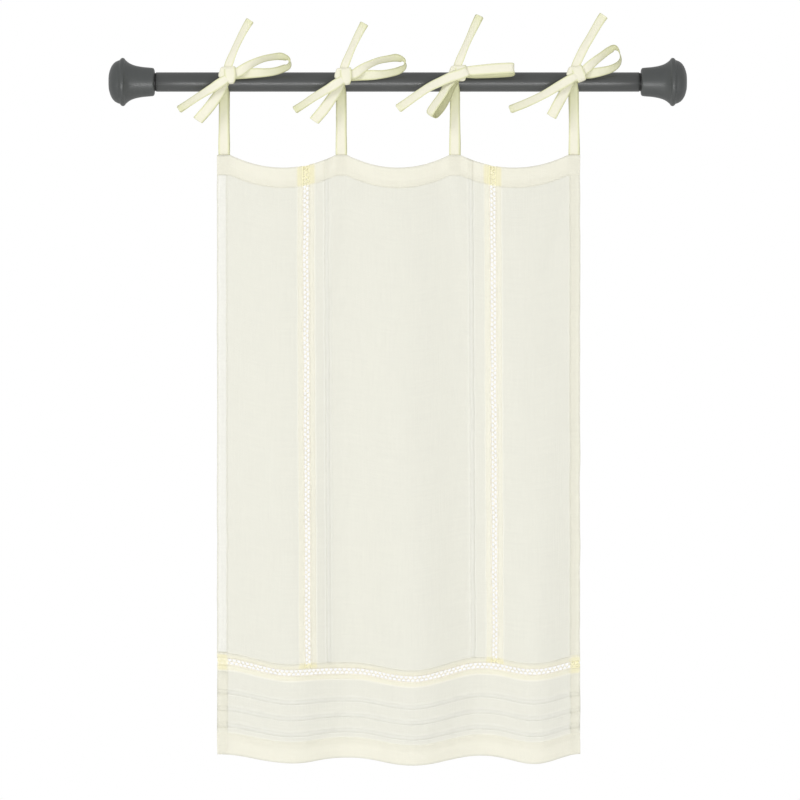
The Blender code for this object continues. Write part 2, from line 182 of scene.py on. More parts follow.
def linen_material(name, single, double_or_shade, thick, pale, cover, gaps):
    """Woven linen: its colour in one, two and three layers, its palest, and its cover. On tape the
    second and third colours are painted shade.
    """
    material, graph, shader = new_material(name, 0.85, 0.25)
    across, down = cut_place(graph)
    warp = (across * (math.pi / THREAD_PITCH)).sine().size()
    weft = (down * (math.pi / THREAD_PITCH)).sine().size()
    weave = warp.larger(weft)
    slubs_down = stretched_noise(graph, across * SLUB_ACROSS, down * SLUB_ALONG)
    slubs_across = stretched_noise(graph, across * SLUB_ALONG, down * SLUB_ACROSS)
    cloudy = stretched_noise(graph, across * CLOUDS, down * CLOUDS)
    slubs = slubs_down + slubs_across - 1.0
    # On tape this attribute is painted shade, not layers of cloth.
    layers = graph.node("ShaderNodeAttribute", {"attribute_name": "layers_and_shade"}, output=2)
    body = blend_colours(graph, layers, single, double_or_shade)
    body = blend_colours(graph, layers - 1.0, body, thick)
    body = blend_colours(graph, layers * -1.0, body, pale)
    shade = 1.0 + slubs * SLUB_SHADE + (cloudy - 0.5) * CLOUD_SHADE
    grey = graph.node("ShaderNodeCombineXYZ", inputs={0: shade, 1: shade, 2: shade})
    colour = graph.node("ShaderNodeVectorMath", {"operation": "MULTIPLY"}, {0: body, 1: grey})
    height = weave * WEAVE_HEIGHT + slubs * SLUB_HEIGHT
    bump = graph.node("ShaderNodeBump", inputs={"Strength": 0.25, "Distance": 0.0004,
                                                "Height": height})
    graph.feed(shader, Base_Color=colour, Normal=bump)
    if cover < 1.0:
        alpha = graph.node("ShaderNodeMath", {"operation": "ADD", "use_clamp": True},
                           {0: cover + slubs * SLUB_COVER, 1: (weave - 1.0) * gaps})
        graph.feed(shader, Alpha=alpha)
    return material


sheer_linen = linen_material(
    "sheer_linen", single=(0.752, 0.744, 0.640), double_or_shade=(0.918, 0.899, 0.775),
    thick=(0.970, 0.925, 0.660), pale=(0.935, 0.930, 0.865), cover=0.88, gaps=0.35)
# The tape's second and third colours are painted shade: a greener one, and a darker one for the edges
# and the tips.
tape_linen = linen_material(
    "tape_linen", single=(0.870, 0.845, 0.700), double_or_shade=(0.790, 0.795, 0.530),
    thick=(0.560, 0.560, 0.340), pale=(0.870, 0.845, 0.700), cover=1.0, gaps=0.0)
print("linen:", sheer_linen.name, tape_linen.name)

# %% [markdown]
# ## Lace cotton and sewing thread
# The lace is twisted cotton, a little warmer than the linen. The twist is too fine to
# model, so a diagonal wave in the bump stands for it. Sewing thread is the same cotton.

# %% Cotton materials
TWIST = 4200.0                   # radians to a metre
HOLLOWS = 0.95                   # how much darker the cotton is between its fibres


def cotton_material(name, colour, backed_and_lit):
    """Twisted cotton, and its colour where it lies on a thick seam: yellower, with painted light that
    lifts the shade there.
    """
    material, graph, shader = new_material(name, 0.8, 0.3)
    place = graph.node("ShaderNodeTexCoord", output=3)
    parts = graph.node("ShaderNodeSeparateXYZ", inputs={0: place})
    up = Value(graph, parts.socket.node.outputs[2])
    twist = ((parts + up) * TWIST).sine()
    fuzz = graph.node("ShaderNodeTexNoise", inputs={"Vector": place, "Scale": 900.0})
    shades = blend_colours(graph, fuzz, [HOLLOWS * c for c in colour], colour)
    covered = graph.node("ShaderNodeAttribute", {"attribute_name": "covered"}, output=2)
    # painted light: lighter and yellower where linen backs the lace
    shades = blend_colours(graph, covered, shades, backed_and_lit)
    bump = graph.node("ShaderNodeBump", inputs={"Strength": 0.5, "Distance": 0.0002,
                                                "Height": twist + fuzz})
    graph.feed(shader, Base_Color=shades, Normal=bump)
    return material


lace_cotton = cotton_material("lace_cotton", (0.945, 0.91, 0.785), (0.985, 0.945, 0.660))
seam_thread = cotton_material("seam_thread", (0.92, 0.89, 0.77), (0.90, 0.87, 0.74))
print("cotton:", lace_cotton.name, seam_thread.name)

# %% [markdown]
# ## Steel, rubber and plastic
# The tube is powder-coated: a fine, even pebble that breaks up the shine. The caps are
# matt rubber with a softer sheen, and the plugs are plain black plastic.

# %% Rod materials
DUST_DULLS = 0.16                # how far dust changes the roughness


def coated_material(name, low, high, roughness, grain, depth, specular=0.5):
    material, graph, shader = new_material(name, roughness, specular)
    place = graph.node("ShaderNodeTexCoord", output=3)
    pebble = graph.node("ShaderNodeTexNoise", inputs={"Vector": place, "Scale": grain,
                                                      "Detail": 3.0})
    dust = graph.node("ShaderNodeTexNoise", inputs={"Vector": place, "Scale": 45.0,
                                                    "Detail": 4.0})
    bump = graph.node("ShaderNodeBump", inputs={"Strength": 0.3, "Distance": depth,
                                                "Height": pebble})
    graph.feed(shader, Base_Color=blend_colours(graph, dust, low, high), Normal=bump,
               Roughness=(dust - 0.5) * DUST_DULLS + roughness)
    return material


rod_coating = coated_material("powder_coated_steel", (0.041, 0.044, 0.043),
                              (0.050, 0.053, 0.052), 0.36, 1400.0, 0.0002, 0.9)
cap_rubber = coated_material("grey_rubber", (0.050, 0.055, 0.054), (0.061, 0.066, 0.065),
                             0.40, 900.0, 0.0001, 0.8)
plug_plastic = coated_material("black_plastic", (0.006, 0.006, 0.006), (0.010, 0.010, 0.010),
                               0.4, 700.0, 0.0001)
print("rod materials ready")

# %% [markdown]
# ## Meshes from rows of points
# Cloth, tape and turned parts are all rows of points joined by four-sided faces. One
# builder collects them, with their UVs, and makes one object with its place in its mesh.

# %% Mesh builder
class Skin:
    """Points, faces and cut coordinates on their way to one object."""

    def __init__(self):
        self.points = []
        self.faces = []
        self.cut = []
        self.layers_and_shade = []

    def add_rows(self, rows, cut_rows, doubled_rows=None, closed=False):
        """Join rows of points. A closed row meets its own start, as round a tube."""
        first = len(self.points)
        wide = len(rows[0])
        for index, row in enumerate(rows):
            self.points += row
            self.cut += cut_rows[index]
            self.layers_and_shade += doubled_rows[index] if doubled_rows else [1.0] * wide
        for row in range(len(rows) - 1):
            for column in range(wide if closed else wide - 1):
                beside = (column + 1) % wide
                here, below = first + row * wide, first + (row + 1) * wide
                self.faces.append((here + column, here + beside, below + beside, below + column))
        return first

    def close_end(self, start, count):
        """A flat face over a ring of points."""
        self.faces.append(tuple(range(start, start + count)))

    def add_tube(self, rings, cut_rings, doubled_rings):
        """Closed rings joined in order, with a flat face at both ends."""
        wide = len(rings[0])
        first = self.add_rows(rings, cut_rings, doubled_rings, closed=True)
        self.close_end(first, wide)
        self.close_end(first + (len(rings) - 1) * wide, wide)

    def build(self, name, material):
        mesh = bpy.data.meshes.new(name)
        mesh.from_pydata(self.points, [], self.faces)
        layer = mesh.uv_layers.new(name="cut")
        for loop in mesh.loops:
            layer.data[loop.index].uv = self.cut[loop.vertex_index]
        layers = mesh.attributes.new("layers_and_shade", "FLOAT", "POINT")
        layers.data.foreach_set("value", self.layers_and_shade)
        mesh.materials.append(material)
        mesh.shade_smooth()
        piece = bpy.data.objects.new(name, mesh)
        bpy.context.scene.collection.objects.link(piece)
        return piece


MERGE = 0.000002                 # points closer than this are one


def tidy_shell(piece):
    """Merge the coincident points of a closed shell and turn its faces outwards."""
    shell = bmesh.new()
    shell.from_mesh(piece.data)
    bmesh.ops.remove_doubles(shell, verts=shell.verts, dist=MERGE)
    bmesh.ops.recalc_face_normals(shell, faces=shell.faces)
    shell.to_mesh(piece.data)
    shell.free()
    return piece


def hand_in(piece, slot, *nodes):
    """The piece moves with the one body and stands for its CAD nodes; its slot is not used."""
    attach(piece, "root")
    if nodes:
        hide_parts(*nodes)
    print(piece.name, len(piece.data.polygons), "faces")


def mix(low, high, share):
    return low + (high - low) * share


def ease(share):
    share = min(max(share, 0.0), 1.0)
    return share * share * (3 - 2 * share)


# %% [markdown]
# ## The rod: tube, collars and end caps
# All of these were made on a lathe or in a round mould, so each is one outline turned
# about the rod's axis. The cap's outline is a dome, a bead, and a long flare to a rounded
# lip. Its end face has shallow rings that grip the wall.

# %% Turned pieces
ROD_LENGTH = 0.716
TUBE_RADIUS = 0.012
TUBE_WALL = 0.001
NECK_RADIUS = 0.0112
NECK_LENGTH = 0.002
SOCKET_DEPTH = 0.025
SPIGOT_LENGTH = 0.020
GAP = 0.0003
ROUND_STEPS = 96
CHAMFER = 0.0005                 # round the mouth of the cap's socket
MOUTH_RADIUS = 0.0140            # of the cap's flat face towards the room
TUBE_STEPS = 12
CAP_OUTSIDE = (                  # along from the wall, and radius: lip, flare, bead, dome
    (0.0564, 0.0150), (0.0552, 0.0170), (0.0520, 0.0177), (0.0420, 0.0186),
    (0.0330, 0.0203), (0.0260, 0.0230), (0.0210, 0.0268), (0.0193, 0.0290),
    (0.0172, 0.0299), (0.0150, 0.0291), (0.0136, 0.0273), (0.0100, 0.0259),
    (0.0065, 0.0236), (0.0036, 0.0200), (0.0014, 0.0152), (0.0, 0.0100))
CAP_LENGTH = CAP_OUTSIDE[0][0]
TUBE_START = CAP_LENGTH + NECK_LENGTH
GRIP_RINGS = ((0.0088, 0.0005), (0.0074, 0.0), (0.0060, 0.0005), (0.0046, 0.0))


def smooth_points(points, steps):
    """Catmull-Rom points through the given ones, whatever number of values each has."""
    run = []
    for index in range(len(points) - 1):
        before, after = points[max(index - 1, 0)], points[min(index + 2, len(points) - 1)]
        for step in range(steps):
            t = step / steps
            run.append(tuple(
                (2 * b + (c - a) * t + (2 * a - 5 * b + 4 * c - d) * t ** 2
                 + (3 * b - a - 3 * c + d) * t ** 3) / 2
                for a, b, c, d in zip(before, points[index], points[index + 1], after)))
    return run + [tuple(points[-1])]


def turned(name, outline, material, from_right=False):
    """A solid turned about the rod's axis from (along, radius) points."""
    rows, cut = [], []
    for along, radius in outline:
        x = ROD_LENGTH - along if from_right else along
        ring = [step * 2 * math.pi / ROUND_STEPS for step in range(ROUND_STEPS)]
        rows.append([(x, radius * math.sin(a), radius * math.cos(a)) for a in ring])
        cut.append([(a * TUBE_RADIUS, along) for a in ring])
    skin = Skin()
    skin.add_rows(rows, cut, closed=True)
    return tidy_shell(skin.build(name, material))


inner = TUBE_RADIUS - TUBE_WALL
tube_end = ROD_LENGTH - TUBE_START
EDGE = 0.0004                    # softened edge at the tube's ends
tube = turned("rod_tube_coated", [
    (TUBE_START, inner), (TUBE_START, TUBE_RADIUS - EDGE), (TUBE_START + EDGE, TUBE_RADIUS),
    *((mix(TUBE_START, tube_end, step / TUBE_STEPS), TUBE_RADIUS)
      for step in range(1, TUBE_STEPS)),
    (tube_end - EDGE, TUBE_RADIUS), (tube_end, TUBE_RADIUS - EDGE), (tube_end, inner),
    (TUBE_START, inner)], rod_coating)
hand_in(tube, "rod_steel", "rod_tube")

socket_radius = NECK_RADIUS + GAP
socket_floor = CAP_LENGTH - SOCKET_DEPTH
cap_outline = [(socket_floor, 0.0), (socket_floor, socket_radius),
               (CAP_LENGTH - CHAMFER, socket_radius), (CAP_LENGTH, socket_radius + CHAMFER)]
cap_outline += [(CAP_LENGTH, MOUTH_RADIUS)] + smooth_points(CAP_OUTSIDE, 5)
cap_outline += [(depth, radius) for radius, depth in GRIP_RINGS] + [(0.0, 0.0)]
spigot = inner - GAP
plug_outline = [(TUBE_START + SPIGOT_LENGTH, 0.0), (TUBE_START + SPIGOT_LENGTH, spigot - EDGE),
                (TUBE_START + SPIGOT_LENGTH - EDGE, spigot), (TUBE_START - GAP, spigot),
                (TUBE_START - GAP, NECK_RADIUS - EDGE / 2),
                (TUBE_START - GAP - EDGE / 2, NECK_RADIUS),
                (socket_floor + GAP, NECK_RADIUS), (socket_floor + GAP, 0.0)]
for side in ("left", "right"):
    cap = turned(f"end_cap_{side}_rubber", cap_outline, cap_rubber, side == "right")
    hand_in(cap, "cap_rubber", f"end_cap_{side}")
    plug = turned(f"collar_{side}", plug_outline, plug_plastic, side == "right")
    hand_in(plug, "plug_plastic", f"rod_plug_{side}")

# %% [markdown]
# ## How the curtain hangs
# The sewn curtain is flat, 450 mm wide and 745 mm long. `hang` says where each of its
# points goes: the top edge sags between the ties, and shallow folds open towards the
# hem. The rows of `FOLDS` are the crests and troughs, which are the ones of the CAD solid.
# `drape` adds what a real hand sees next: a few soft creases placed one by one, the
# puckers that stitching pulls up beside each seam, and a very slight general ripple.

# %% Hanging
CURTAIN_LEFT = 0.134
WIDTH = 0.450
LENGTH = 0.745
LACE_LINE = 0.634
TIES_ACROSS = (0.009, 0.154, 0.295, 0.442)
TIE_SHOULDER = 0.007
TOP_DROP = 0.0905
TOP_SAG = 0.016
TOP_SWELL = 0.2
LEAN = 0.0035
FOLDS = (        # across at the top, across at the hem, drop at the lace, at the hem, swell
    (0.0000, 0.0000, 0.7180, 0.8340, 0.006), (0.0815, 0.0880, 0.7320, 0.8436, -0.010),
    (0.1540, 0.1587, 0.7305, 0.8380, 0.008), (0.2245, 0.2393, 0.7397, 0.8460, -0.011),
    (0.2950, 0.3260, 0.7240, 0.8358, 0.010), (0.3685, 0.3920, 0.7310, 0.8444, -0.009),
    (0.4500, 0.4500, 0.7220, 0.8340, 0.005))
FOLD_TOPS, FOLD_HEMS, LACE_DROPS, HEM_DROPS, SWELLS = zip(*FOLDS)


def between_folds(across, places, values):
    """A soft wave through one value for each crest and trough."""
    for index in range(len(places) - 1):
        if across <= places[index + 1] or index == len(places) - 2:
            share = (across - places[index]) / (places[index + 1] - places[index])
            share = min(max(share, 0.0), 1.0)
            return mix(values[index], values[index + 1], (1 - math.cos(math.pi * share)) / 2)


def top_drop(across):
    """The top edge hangs in a shallow curve from tie to tie."""
    for left, right in zip(TIES_ACROSS, TIES_ACROSS[1:]):
        start, end = left + TIE_SHOULDER, right - TIE_SHOULDER
        if start < across < end:
            from_middle = 2 * (across - start) / (end - start) - 1
            return TOP_DROP + TOP_SAG * (1 - from_middle ** 2)
    return TOP_DROP


def hang(across, down):
    """Where a point of the sewn curtain hangs."""
    share = min(down / LACE_LINE, 1.0)
    below = max(down - LACE_LINE, 0.0) / (LENGTH - LACE_LINE)
    lace_drop = between_folds(across, FOLD_HEMS, LACE_DROPS)
    hem_drop = between_folds(across, FOLD_HEMS, HEM_DROPS)
    drop = mix(mix(top_drop(across), lace_drop, share), hem_drop, below)
    places = [mix(top, hem, share) for top, hem in zip(FOLD_TOPS, FOLD_HEMS)]
    depth = between_folds(across, places, SWELLS) * mix(TOP_SWELL, 1.0, share)
    drift = LEAN * share * (1 - (2 * across / WIDTH - 1) ** 4)
    return Vector((CURTAIN_LEFT + across + drift, depth, -drop))


# %% [markdown]
# ## Seams, hems and tucks
# These are the sizes of the sewing, measured on the flat curtain.

# %% Sewing sizes
TOP_HEM = 0.0255
LEFT_HEM = 0.0125
RIGHT_HEM = 0.0130
BOTTOM_HEM = 0.026
LACE_WIDTH = 0.0080
LACE_ACROSS = (0.1097, 0.3417)
TURNED_EDGE = 0.0060
TUCKS_ACROSS = ((0.1327, 0.1383), (0.3115, 0.3170))
TUCK_DEPTH = 0.0055
TUCKS_DOWN = (0.0390, 0.0590, 0.0785)
SEAM_HALF = LACE_WIDTH / 2 + GAP
FLANK = SEAM_HALF + TURNED_EDGE  # from the middle of a lace strip to the end of its turned edge
UNDER_TURN = 0.0085              # raw edge folded in under a hem
LAYER = 0.00028                  # from one layer of cloth to the next

# Soft creases: from (across, down) to (across, down), half width, and swell to the room.
CREASES = (
    (0.196, 0.480, 0.241, 0.265, 0.011, 0.0011),
    (0.240, 0.385, 0.292, 0.372, 0.006, 0.0005),
    (0.154, 0.012, 0.133, 0.190, 0.010, 0.0014),
    (0.295, 0.012, 0.318, 0.200, 0.010, 0.0013),
    (0.010, 0.012, 0.040, 0.150, 0.012, 0.0012),
    (0.442, 0.012, 0.405, 0.160, 0.012, -0.0012),
    (0.060, 0.300, 0.085, 0.560, 0.016, 0.0008),
    (0.395, 0.260, 0.375, 0.600, 0.015, -0.0010),
    (0.225, 0.100, 0.220, 0.260, 0.022, -0.0010))
SEAMS_DOWN = (*LACE_ACROSS, TUCKS_ACROSS[0][1], TUCKS_ACROSS[1][0], 0.006, 0.444)
SEAMS_ACROSS = (TOP_HEM, LACE_LINE, LENGTH - BOTTOM_HEM,
                *(LACE_LINE + edge - TUCK_DEPTH for edge in TUCKS_DOWN))
CREASE_FADE = 0.02               # a crease fades in this far past its ends
PUCKER = 0.0011
PUCKER_REACH = 0.012
PUCKER_END = 0.03
RIPPLE, WAVER, SWAY = 0.0007, 0.0007, 0.0008   # how far it drifts out, up and across


def crease_swell(across, down):
    """How far the creases lift a place of the cloth towards the room."""
    swell = 0.0
    for x0, y0, x1, y1, half, rise in CREASES:
        length = math.hypot(x1 - x0, y1 - y0)
        along = ((across - x0) * (x1 - x0) + (down - y0) * (y1 - y0)) / length
        if -CREASE_FADE < along < length + CREASE_FADE:
            away = abs((across - x0) * (y1 - y0) - (down - y0) * (x1 - x0)) / length
            ends = (ease((along + CREASE_FADE) / (3 * CREASE_FADE))
                    * ease((length + CREASE_FADE - along) / (3 * CREASE_FADE)))
            swell += rise * ends * math.exp(-(away / half) ** 2)
    return swell


def gather(away, *spot):
    if abs(away) > PUCKER_END:
        return 0.0
    return PUCKER * noise.noise(Vector(spot)) * math.exp(-(away / PUCKER_REACH) ** 2)


def pucker(across, down):
    """Little gathers that stitching pulls up, fading a centimetre from each seam."""
    return (sum(gather(across - seam, across * 20, down * 75, index * 7.3)
                for index, seam in enumerate(SEAMS_DOWN))
            + sum(gather(down - seam, across * 70, down * 20, 50 + index * 5.1)
                  for index, seam in enumerate(SEAMS_ACROSS)))


def drape(across, down, behind=0.0):
    """The hanging place of a point, with its creases, and how far behind the front it is."""
    place = hang(across, down)
    ripple = RIPPLE * noise.noise(Vector((across * 16, down * 9, 3.7)))
    place.y += ripple + pucker(across, down) - crease_swell(across, down) + behind
    waver = noise.noise(Vector((across * 28, down * 6, 91.0)))
    place.z += WAVER * waver * ease(down / LACE_LINE)
    place.x += SWAY * noise.noise(Vector((across * 6, down * 30, 17.0)))
    return place


print("middle of the hem hangs at", [round(v, 3) for v in drape(WIDTH / 2, LENGTH)])

# %% [markdown]
# ## Folding a hem
# A hem or a tuck is the same flat cloth, folded. `fold_lines` walks along the cut cloth
# and notes, for each line of the grid, where it ends up on the sewn curtain, how far
# behind the front, and which way it faces. Where the walk turns back, it goes round a
# small half circle, so the fold has a true rounded edge. Crossing two such walks, one
# across and one down, gives hems that turn the corners too.

# %% Fold lines
BEND_STEPS = 4


def fold_lines(walk, spacing):
    """Lines (place, behind, lift, facing, cut) along a walk of (place, behind, lift) points."""
    lines = []
    cut = 0.0
    facing = 1.0 if walk[1][0] > walk[0][0] else -1.0
    for (place, behind, lift), (next_place, next_behind, next_lift) in zip(walk, walk[1:]):
        run = abs(next_place - place)
        if run > 1e-6:
            facing = 1.0 if next_place > place else -1.0
            count = max(1, round(run / spacing))
            for step in range(1 if lines else 0, count + 1):
                share = step / count
                soft = ease(share)
                lines.append((mix(place, next_place, share), mix(behind, next_behind, soft),
                              mix(lift, next_lift, soft), facing, cut + run * share))
            cut += run
        else:
            radius = abs(next_behind - behind) / 2
            for step in range(1, BEND_STEPS + 1):
                angle = math.pi * step / BEND_STEPS
                share = (1 - math.cos(angle)) / 2
                lines.append((place + facing * radius * math.sin(angle),
                              mix(behind, next_behind, share), mix(lift, next_lift, share),
                              facing * math.cos(angle), cut + radius * angle))
            cut += math.pi * radius
    return lines


def start_hem(edge, depth, way=1.0):
    """The walk from the raw edge under a hem, round its outer fold, and on to the front."""
    inside = edge + way * depth
    return [(inside - way * UNDER_TURN, LAYER, 1.0), (inside, LAYER, 1.0),
            (inside, 2 * LAYER, 3.0), (edge, 2 * LAYER, 3.0), (edge, 0.0, 0.0)]


def end_hem(edge, depth):
    return start_hem(edge, depth, -1.0)[::-1]


def start_turn(edge):
    """An edge folded once to the back, as beside the lace."""
    return [(edge + TURNED_EDGE, LAYER, 2.0), (edge, LAYER, 2.0), (edge, 0.0, 0.0)]


def end_turn(edge):
    return [(edge, 0.0, 0.0), (edge, LAYER, 2.0), (edge - TURNED_EDGE, LAYER, 2.0)]


TUCK_EASE = 0.0022               # the front layer settles back this far from the stitches
TUCK_LAYER = 0.00034             # from one layer of a tuck to the next


def tuck_to_left(fold, stitch):
    """A tuck whose folded edge points left: under, back along, and over the top."""
    return [(stitch, 0.0, 0.0), (stitch, -TUCK_LAYER, 0.0), (fold, -TUCK_LAYER, 0.0),
            (fold, -2 * TUCK_LAYER, 0.0), (stitch, -2 * TUCK_LAYER, 0.0),
            (stitch + TUCK_EASE, 0.0, 0.0)]


def tuck_to_right(stitch, fold):
    return [(stitch - TUCK_EASE, 0.0, 0.0), (stitch, -2 * TUCK_LAYER, 0.0),
            (fold, -2 * TUCK_LAYER, 0.0), (fold, -TUCK_LAYER, 0.0),
            (stitch, -TUCK_LAYER, 0.0), (stitch, 0.0, 0.0)]


# %% [markdown]
# ## Cutting and sewing the linen
# Each panel is one rectangle of linen. `sew` crosses the two walks, hangs every point,
# and keeps the cut coordinates for the weave. `doubled_at` says where the layers show.

# %% Sewing function
SPACING = 0.0026
SIDE_HEMS = ((0.0, LEFT_HEM), (WIDTH - RIGHT_HEM, WIDTH))
FLANKS = tuple((middle - FLANK, middle + FLANK) for middle in LACE_ACROSS)
STACKS_ACROSS = (*((*hem, 2 * LAYER) for hem in SIDE_HEMS), *((*flank, LAYER) for flank in FLANKS))
CROSS_FLANK = (LACE_LINE - FLANK, LACE_LINE + FLANK)
CROSS_BODY = 1.2                 # the layers beside the cross lace show a little more
CROSS_HEMS = ((0.0, TOP_HEM), (LENGTH - BOTTOM_HEM, LENGTH))
CROSS_TUCKS = tuple((LACE_LINE + edge - TUCK_DEPTH, LACE_LINE + edge) for edge in TUCKS_DOWN)
LEFT_PALE, RIGHT_BODY = -1.0, 0.8              # the left side hem is paler above the cross lace; the right one has more body
TUCK_PALE = -0.8                 # a soft tuck is a little paler than the cloth
PALE_FADE = 0.02                # the paler colour fades out this far below the cross lace


def within(place, start, end):
    """1 between start and end, 0 outside, with edges 0.8 mm soft."""
    return ease((place - start) / 0.0008 + 0.5) * ease((end - place) / 0.0008 + 0.5)


def stack_at(across):
    """How thick the hems and turned edges are at a place across the curtain."""
    return max(height * within(across, start - 0.001, end + 0.001)
               for start, end, height in STACKS_ACROSS)


def doubled_at(across, down):
    """How much body the layers give at a place on the curtain, as `layers_and_shade` counts it."""
    left, right = (within(across, *zone) for zone in SIDE_HEMS)
    flanks = tucks = 0.0
    if down < LACE_LINE:
        flanks = max(within(across, *zone) for zone in FLANKS)
        tucks = max(within(across, *zone) for zone in TUCKS_ACROSS)
    seam = within(down, *CROSS_FLANK)
    crosswise = max(*(within(down, *zone) for zone in CROSS_HEMS), CROSS_BODY * seam)
    tucks = max(tucks, *(within(down, *zone) for zone in CROSS_TUCKS))
    body = max(flanks, crosswise)
    plain = mix(TUCK_PALE * tucks, body + flanks * min(crosswise, 1.0), min(body, 1.0))
    left_hem_tone = mix(LEFT_PALE, RIGHT_BODY, ease((down - LACE_LINE) / PALE_FADE))
    side = mix(left * left_hem_tone + right * RIGHT_BODY, 1.0 + seam, min(crosswise, 1.0))
    return mix(plain, side, max(left, right))


def sew(name, walk_across, walk_down, node):
    """One sheet of linen that stands for a CAD node, and its cut size."""
    columns = fold_lines(walk_across, SPACING)
    rows = fold_lines(walk_down, SPACING)
    grid, cut, layers_and_shade = [], [], []
    for down, row_behind, row_lift, row_facing, down_cut in rows:
        grid.append([])
        cut.append([])
        layers_and_shade.append([])
        for across, behind, _, _, across_cut in columns:
            total = row_behind + row_lift * stack_at(across) + row_facing * behind
            grid[-1].append(drape(across, down, total))
            cut[-1].append((across_cut, -down_cut))
            layers_and_shade[-1].append(doubled_at(across, down))
    skin = Skin()
    skin.add_rows(grid, cut, layers_and_shade)
    piece = skin.build(name, sheer_linen)
    hand_in(piece, "linen", node)
    return piece, (columns[-1][-1], rows[-1][-1])


# %% [markdown]
# The two outer panels have a hem on one side and a turned edge on the other. The middle
# panel carries two narrow tucks that point outwards, towards the lace.

# %% Panels
left_lace, right_lace = LACE_ACROSS
panel_bottom = LACE_LINE - SEAM_HALF
walk_down = start_hem(0.0, TOP_HEM) + end_turn(panel_bottom)
panel_left, cut_left = sew("linen_panel_left",
                           start_hem(0.0, LEFT_HEM) + end_turn(left_lace - SEAM_HALF),
                           walk_down, "panel_left")
(left_fold, left_stitch), (right_stitch, right_fold) = TUCKS_ACROSS
walk_centre = (start_turn(left_lace + SEAM_HALF) + tuck_to_left(left_fold, left_stitch)
               + tuck_to_right(right_stitch, right_fold) + end_turn(right_lace - SEAM_HALF))
panel_centre, cut_centre = sew("linen_panel_centre", walk_centre, walk_down, "panel_centre")
panel_right, cut_right = sew("linen_panel_right",
                             start_turn(right_lace + SEAM_HALF) + end_hem(WIDTH, RIGHT_HEM),
                             walk_down, "panel_right")
for cut in (cut_left, cut_centre, cut_right):
    print("panel cut in mm:", [round(1000 * v) for v in cut])

# %% [markdown]
# The band below the cross lace has three crosswise tucks, whose folds point down, and
# the deep double hem.

# %% Bottom band
walk_band = start_turn(LACE_LINE + SEAM_HALF)
for edge in TUCKS_DOWN:
    walk_band += tuck_to_right(LACE_LINE + edge - TUCK_DEPTH, LACE_LINE + edge)
walk_band += end_hem(LENGTH, BOTTOM_HEM)
bottom_band, cut_band = sew("linen_bottom_band",
                            start_hem(0.0, LEFT_HEM) + end_hem(WIDTH, RIGHT_HEM),
                            walk_band, "bottom_band")
print("band cut in mm:", [round(1000 * v) for v in cut_band])

# %% [markdown]
# Small patches of the same linen back the lace where a hem or seam crosses it: at the
# top hem, above the cross lace, and at the right side hem. At the left side hem the patch
# lies in front. A narrow facing covers the ends of the lengthwise tucks, just above the
# cross lace, and lies in front too.

# %% Backing and facing
FACING_FRONT = -0.0009
COVER_FRONT = -0.0007            # the left side hem runs on over the end of the cross lace
BACKING_BEHIND = 0.0013
BACKING_FOLD, FACING_FOLD = 0.006, 0.0035
PATCH_INSET = 0.0003             # a patch stops this far inside the curtain's edge
facing_top, facing_bottom = panel_bottom - TURNED_EDGE, panel_bottom


def add_patch(skin, across, down, behind, fold=0.0):
    """A small piece of linen, with its upper edge folded to the back."""
    (left, right), (top, bottom) = across, down
    walk = [(top + fold, behind + LAYER, 0.0), (top, behind + LAYER, 0.0)] if fold else []
    rows = fold_lines(walk + [(top, behind, 0.0), (bottom, behind, 0.0)], SPACING)
    columns = fold_lines([(left, 0.0, 0.0), (right, 0.0, 0.0)], SPACING)
    skin.add_rows(
        [[drape(x, y, back) for x, _, _, _, _ in columns] for y, back, _, _, _ in rows],
        [[(x_cut, -y_cut) for _, _, _, _, x_cut in columns] for _, _, _, _, y_cut in rows],
        [[doubled_at(x, y) for x, _, _, _, _ in columns] for y, _, _, _, _ in rows])


backing_skin = Skin()
for flank in FLANKS:
    add_patch(backing_skin, flank, (0.0004, TOP_HEM - 0.0006), BACKING_BEHIND, BACKING_FOLD)
    add_patch(backing_skin, flank, (facing_top, facing_bottom), BACKING_BEHIND)
add_patch(backing_skin, (WIDTH - RIGHT_HEM, WIDTH - PATCH_INSET), CROSS_FLANK, BACKING_BEHIND)
add_patch(backing_skin, (PATCH_INSET, LEFT_HEM), (LACE_LINE - SEAM_HALF, LACE_LINE + SEAM_HALF),
          COVER_FRONT)
backing = backing_skin.build("linen_backing", sheer_linen)
hand_in(backing, "linen")

facing_skin = Skin()
lace_edges = [middle + way * SEAM_HALF for middle in LACE_ACROSS for way in (-1, 1)]
facing_ends = [0.0, *lace_edges, WIDTH]
for ends in zip(facing_ends[::2], facing_ends[1::2]):
    add_patch(facing_skin, ends, (facing_top, facing_bottom), FACING_FRONT, FACING_FOLD)
facing = facing_skin.build("linen_facing", sheer_linen)
hand_in(facing, "linen")

# %% [markdown]
# ## Lace
# The openwork is two rows of small holes, staggered, between two firm edges. One thread
# can make all of it: it runs down the middle, darts out to the left edge and back, then
# out to the right edge and back. That is a rule, so Geometry Nodes follow it. The path
# down the strip comes in as a line of edges. Each point knows which way is sideways, and
# whether linen covers it, where the thread swells and its colour turns yellower, with
# painted light lifting the shade there. The tree resamples the path, pushes each point
# sideways by the rule, and sweeps a round thread.

# %% Lace tree
LACE_SIZES = {"Pitch": 0.0057, "Reach": 0.0038, "Thread Radius": 0.00076,
              "Edge Radius": 0.0008, "Covered Growth": 0.45}
TURN_STEPS = 22                  # path points in one turn of the thread
SWING_SHARE, DART_SHARE = 0.22, 0.78           # a gentle swing, and a quick dart at its ends
REACH_LOW, REACH_CHANGE = 0.92, 0.16           # no two darts reach quite as far
DART_FORWARD = 0.0005            # the ends of the darts lie over the edge threads
EDGE_REACH = 1.03
EDGE_STEP = 0.3                  # of the pitch, along an edge thread


